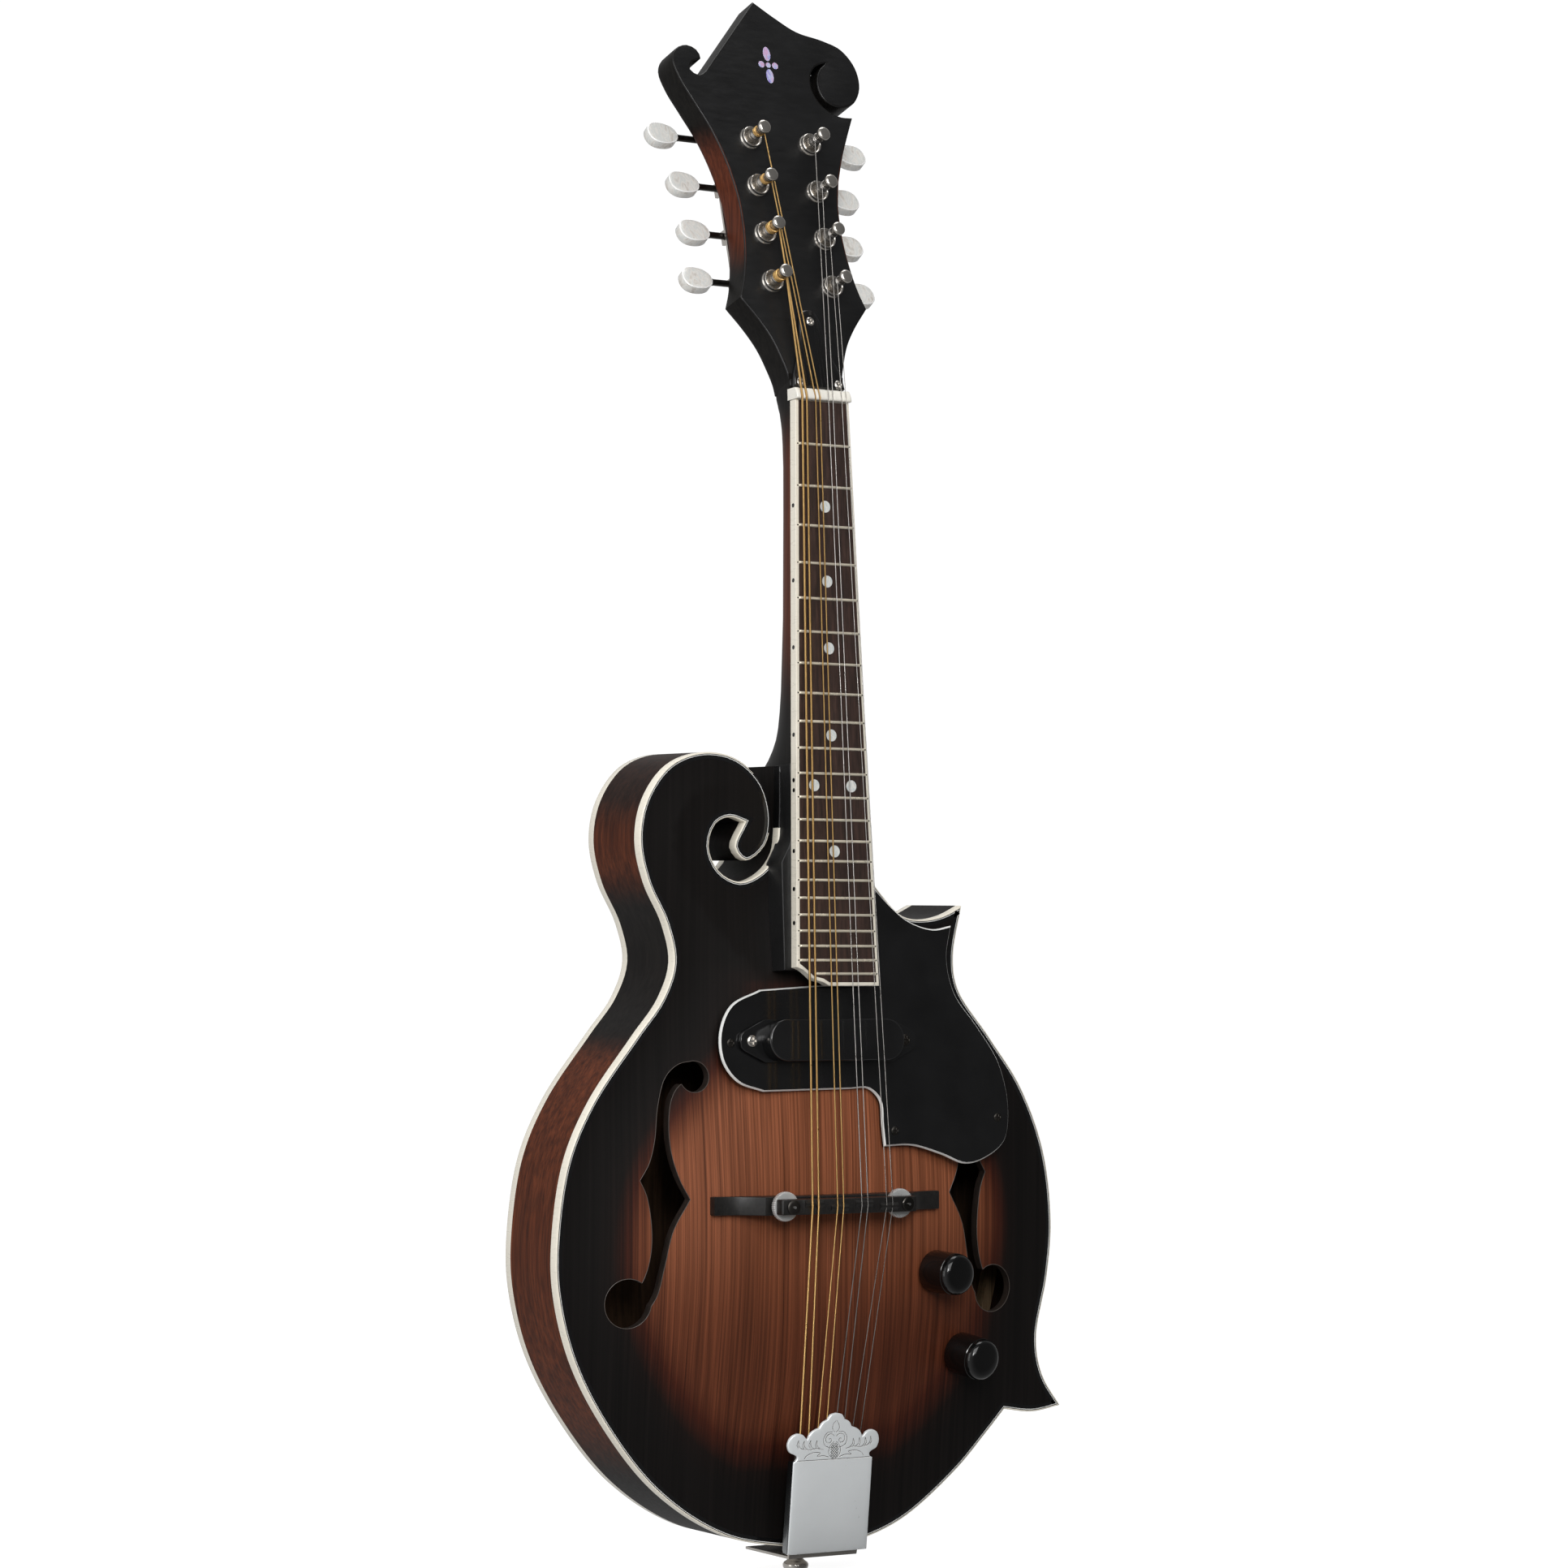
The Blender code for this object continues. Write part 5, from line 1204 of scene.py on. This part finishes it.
def engraving():
    """Scrolls and leaves cut in the cover's crest, as lines on its right half."""
    def curve(*points):
        return np.array(smooth_run(points, 0.6) + [np.array(points[-1], float)])

    lines = [spiral(2.9, 49.5, 1.35, 0.4, 0.33)]
    lines.append(curve((0.6, 46.2), (2.6, 46.0), (5.4, 47.4), (5.9, 50.4), (4.2, 52.6), (1.6, 52.8)))
    lines.append(curve((0.4, 40.6), (2.9, 43.6), (2.6, 46.4), (0.6, 48.6)))
    lines.append(curve((0.3, 52.6), (1.7, 54.2), (1.3, 56.4), (0.2, 57.6)))
    lines.append(curve((2.6, 41.8), (5.4, 42.6), (8.8, 42.6), (7.2, 43.8), (11.2, 44.2), (14.6, 42.6),
                       (15.2, 41.6)))
    lines.append(curve((5.8, 45.2), (9.4, 46.0), (13, 45.6), (16.8, 46.2), (19.4, 47.6)))
    for x, y in ((7.4, 45.6), (10.6, 45.8), (13.8, 45.6), (16.6, 46.0)):
        lines.append(curve((x, y), (x + 1.6, y + 1.4), (x + 1.9, y + 3.9)))
        lines.append(curve((x + 1.9, y + 3.9), (x + 2.6, y + 1.9), (x + 1.8, y + 0.3)))
    return lines


def cover_fall(points):
    """How far the cover's face falls towards its sides."""
    return -0.5 * (np.abs(points[:, 0]) / COVER_HALF_WIDTH) ** 4


def make_engraving():
    """Lines of the crest, each drawn as a strip of painted shade beside a strip of painted highlight, for the
    two walls of a cut.
    """
    lines = engraving()
    lines += [line * (-1, 1) for line in lines]
    for offset in np.arange(-3.6, 3.7, 1.2):
        for slope in (-1, 1):
            t = np.linspace(-2.2, 2.2, 23)
            x, y = t, 44.6 + offset + slope * t
            keep = (x / 2.1) ** 2 + ((y - 44.6) / 3.5) ** 2 < 1
            if keep.sum() > 3:
                lines.append(np.stack([x[keep], y[keep]], axis=1))
    lines.append(np.stack([np.linspace(-18.6, 18.6, 40), np.full(40, 40.9)], axis=1))
    shape = Shape()
    for line in lines:
        # Mark 0 is the painted shade strip, and mark 1 the painted highlight strip set beside it.
        for mark, shift_by in ((0, 0.0), (1, 0.2)):
            verts, faces = ribbon(line + (shift_by, -shift_by), 0.26, 1.23, 1.1)
            verts = np.array(verts, float)
            verts[:, 2] += cover_fall(verts)
            shape.add((verts, faces), TAIL, mark)
    piece("cover_lines", shape, [engraving_painted_shade, engraving_painted_highlight], "tailpiece_cover", [])


def make_tail():
    half = COVER_HALF_WIDTH
    crest = TAILPIECE_HALF_CREST
    foot = crest[0][0][1]
    outline = closed_loop([[(half, 0.0), (half, foot)]] + crest + mirrored(crest)
                          + [[(-half, foot), (-half, 0)], [(-half, 0), (half, 0)]], 0.8)
    shape = Shape().add(slab([outline], [(0.5, 1.2), (0.15, 1.08), (0, 0.8), (0, 0)], None, 1.6, cover_fall),
                        TAIL)
    for side in (-1, 1):
        wall = np.array([(0.0, 0.4), (41.0, 0.4), (40.2, -3.6), (39.4, -4.2), (1.0, -4.2), (0.0, -3.4)])
        place = TAIL @ shift(side * (half - 0.6), 0, 0) @ ALONG_X
        shape.add(slab([wall], rounded(-0.6, 0.6, 0.2, steps=2)), place, 1)
    lip = np.array([(-half + 1.2, -0.3), (half - 1.2, -0.3), (half - 1.2, 0.7), (-half + 1.2, 0.7)])
    shape.add(slab([lip], [(0, 0.9), (0, -2.6)]), TAIL @ shift(0, 0.35, 0))
    # The value is the cover's height, which sets its painted shade: the face darker towards the foot, the
    # side walls darker towards the crest.
    piece("cover_engraved", shape, [cover_face_shaded, cover_side_painted_shade], "tailpiece_cover", ["tailpiece_cover"],
          50, lambda points: np.clip((points[:, 2] - 12) / 36, 0, 1))
    strap = Shape().add(revolve([(0, 42), (2.9, 42), (2.9, 8.6), (4.3, 8.45), (4.6, 8.15), (4.3, 7.7),
                                 (3.5, 6.9), (3.15, 6.0), (3.4, 5.1), (4.3, 4.3), (5.2, 3.7),
                                 (5.65, 2.9), (5.65, 2.1), (5.35, 1.2), (4.7, 0.5), (3.6, 0.12),
                                 (2.0, 0.0), (0, 0.0)], 48))
    piece("strap_peg", strap, [chrome], "root", ["strap_button"], 40)
    screws = Shape()
    for x in (-12.5, 12.5):
        cross_screw(screws, shift(x, 7.5, 8.8) @ Matrix.Rotation(math.pi, 4, "X"), 2.2, 0.9, 0)
    piece("tail_screws", screws, [chrome], "root", [])


# Strings

def make_strings():
    places = post_places()
    for number, ((at_nut, at_bridge), radius) in enumerate(zip(string_places(), STRING_RADIUS), 1):
        x, y = places[STRING_POSTS[number - 1]]
        side = 1 if x > 0 else -1
        stops = [BODY @ (Vector((-15.4 + 4.4 * (number - 1), 58.5, 15.6 + radius)) * MM),
                 BODY @ (Vector((at_bridge, BRIDGE_Z, STRING_OVER_BRIDGE - 0.4 + radius)) * MM),
                 NECK @ (Vector((at_nut, 0.9, NUT_STRING_HEIGHT - 0.4 + radius)) * MM),
                 HEAD @ (Vector((side * (POST_HALF_SPACING - POST_WAIST - radius), y, POST_STRING)) * MM)]
        path = []
        for start, end in zip(stops, stops[1:]):
            span = (end - start) / MM
            count = max(2, round(span.length / 12))
            path += [np.array(start / MM) + np.array(span) * i / count for i in range(count)]
        path.append(np.array(stops[-1] / MM))
        string, along = tube(path, radius, 10)
        shape = Shape().add(string, WORLD, 0, along)
        material, slot = string_look(number)
        piece(f"string_run_{number}", shape, [material], "root", [f"string_{number}"], 60)


def finish_carried_nodes():
    """Procedural finishes for the CAD nodes that stay as they are."""
    # The linings and tone bars take the dark inner spruce, which is painted shade inside the body.
    finishes = {"lining_front": spruce, "lining_back": spruce, "tone_bar_bass": spruce,
                "tone_bar_treble": spruce, "neck_block": inner_mahogany, "tail_block": inner_mahogany,
                "truss_rod": steel, "truss_rod_nut": steel, "pot_volume": steel, "pot_tone": steel,
                "tailpiece_base": chrome, "tuner_plate_bass": chrome, "tuner_plate_treble": chrome}
    for node, material in finishes.items():
        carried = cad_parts[node]
        carried = bpy.data.objects[carried] if isinstance(carried, str) else carried
        for slot in carried.material_slots:
            slot.link = "OBJECT"
            slot.material = material


# Studio

def make_camera():
    camera_data = bpy.data.cameras.new("camera")
    camera_data.sensor_width = 36.0
    camera_data.lens = 102.16
    camera_data.clip_end = 40
    camera = bpy.data.objects.new("camera", camera_data)
    bpy.context.scene.collection.objects.link(camera)
    right = Vector((0.84688, -0.53168, 0.01069))
    up = Vector((-0.02405, -0.01821, 0.99955))
    back = Vector((-0.53124, -0.84675, -0.02820))
    turn = Matrix((right, up, back)).transposed().to_4x4()
    camera.matrix_world = Matrix.Translation(Vector((-1.0487, -1.6551, 0.2894))) @ turn
    bpy.context.scene.camera = camera


def area_light(name, place, target, size, power, colour=(1, 1, 1)):
    data = bpy.data.lights.new(name, "AREA")
    data.shape = "RECTANGLE"
    data.size, data.size_y = size
    data.energy = power
    data.color = colour
    light = bpy.data.objects.new(name, data)
    bpy.context.scene.collection.objects.link(light)
    light.location = place
    light.rotation_euler = (Vector(place) - Vector(target)).to_track_quat("Z", "Y").to_euler()
    return light


def make_studio():
    scene = bpy.context.scene
    scene.view_settings.view_transform = "Standard"
    world = bpy.data.worlds.new("studio")
    scene.world = world
    world.use_nodes = True
    nodes, links = world.node_tree.nodes, world.node_tree.links
    background = nodes["Background"]
    background.inputs["Color"].default_value = (1, 1, 1, 1)
    path = nodes.new("ShaderNodeLightPath")
    level = nodes.new("ShaderNodeMapRange")
    level.inputs["To Max"].default_value = 1.05
    links.new(path.outputs["Is Camera Ray"], level.inputs["Value"])
    links.new(level.outputs["Result"], background.inputs["Strength"])
    # The room is darker where the front of the instrument mirrors it
    sky = nodes.new("ShaderNodeTexCoord")
    toward = nodes.new("ShaderNodeVectorMath")
    toward.operation = "DOT_PRODUCT"
    toward.inputs[1].default_value = (0.53, -0.83, 0.15)
    links.new(sky.outputs["Generated"], toward.inputs[0])
    room = nodes.new("ShaderNodeMapRange")
    room.inputs["From Min"].default_value = -0.3
    room.inputs["From Max"].default_value = 0.75
    room.inputs["To Min"].default_value = 0.6
    room.inputs["To Max"].default_value = 0.1
    links.new(toward.outputs["Value"], room.inputs["Value"])
    links.new(room.outputs["Result"], level.inputs["To Min"])
    flat = (np.array([(-9000, -9000), (9000, -9000), (9000, 9000), (-9000, 9000)]), [(0, 1, 2, 3)])
    mesh = bpy.data.meshes.new("studio_floor")
    mesh.from_pydata([(x * MM, y * MM, -0.0012) for x, y in flat[0]], [], flat[1])
    floor = bpy.data.objects.new("studio_floor", mesh)
    scene.collection.objects.link(floor)
    pale = Look("pale_floor", (0.92, 0.92, 0.92), 0.9, Specular_IOR_Level=0.1)
    tone = pale.noise((3, 3, 3), 2.0)
    pale.put("Base Color", pale.ramp(tone, [(0.0, 0.3), (1.0, 0.33)]))
    pale.set("Emission Color", (1, 1, 1, 1))
    pale.set("Emission Strength", 0.92)
    mesh.materials.append(pale.material)
    floor.visible_glossy = False
    floor.visible_diffuse = False
    middle = (0.0, 0.0, 0.34)
    area_light("key", (-0.9, -2.3, 1.6), middle, (2.0, 2.0), 48)
    area_light("window", (-0.85, -1.62, 0.72), middle, (0.22, 0.42), 7)
    area_light("left_wash", (-2.5, -0.3, 0.7), middle, (0.9, 2.0), 10)
    area_light("top_strip", (0.2, 0.2, 2.4), middle, (1.6, 0.8), 14)


make_camera()
make_studio()
make_soundboard()
make_sides()
make_back()
make_neck()
make_inlay()
make_truss_cover()
make_nut()
make_fretboard()
make_tuners()
make_bridge()
make_pickguard()
make_pickup()
make_controls()
make_tail()
make_engraving()
make_strings()
finish_carried_nodes()
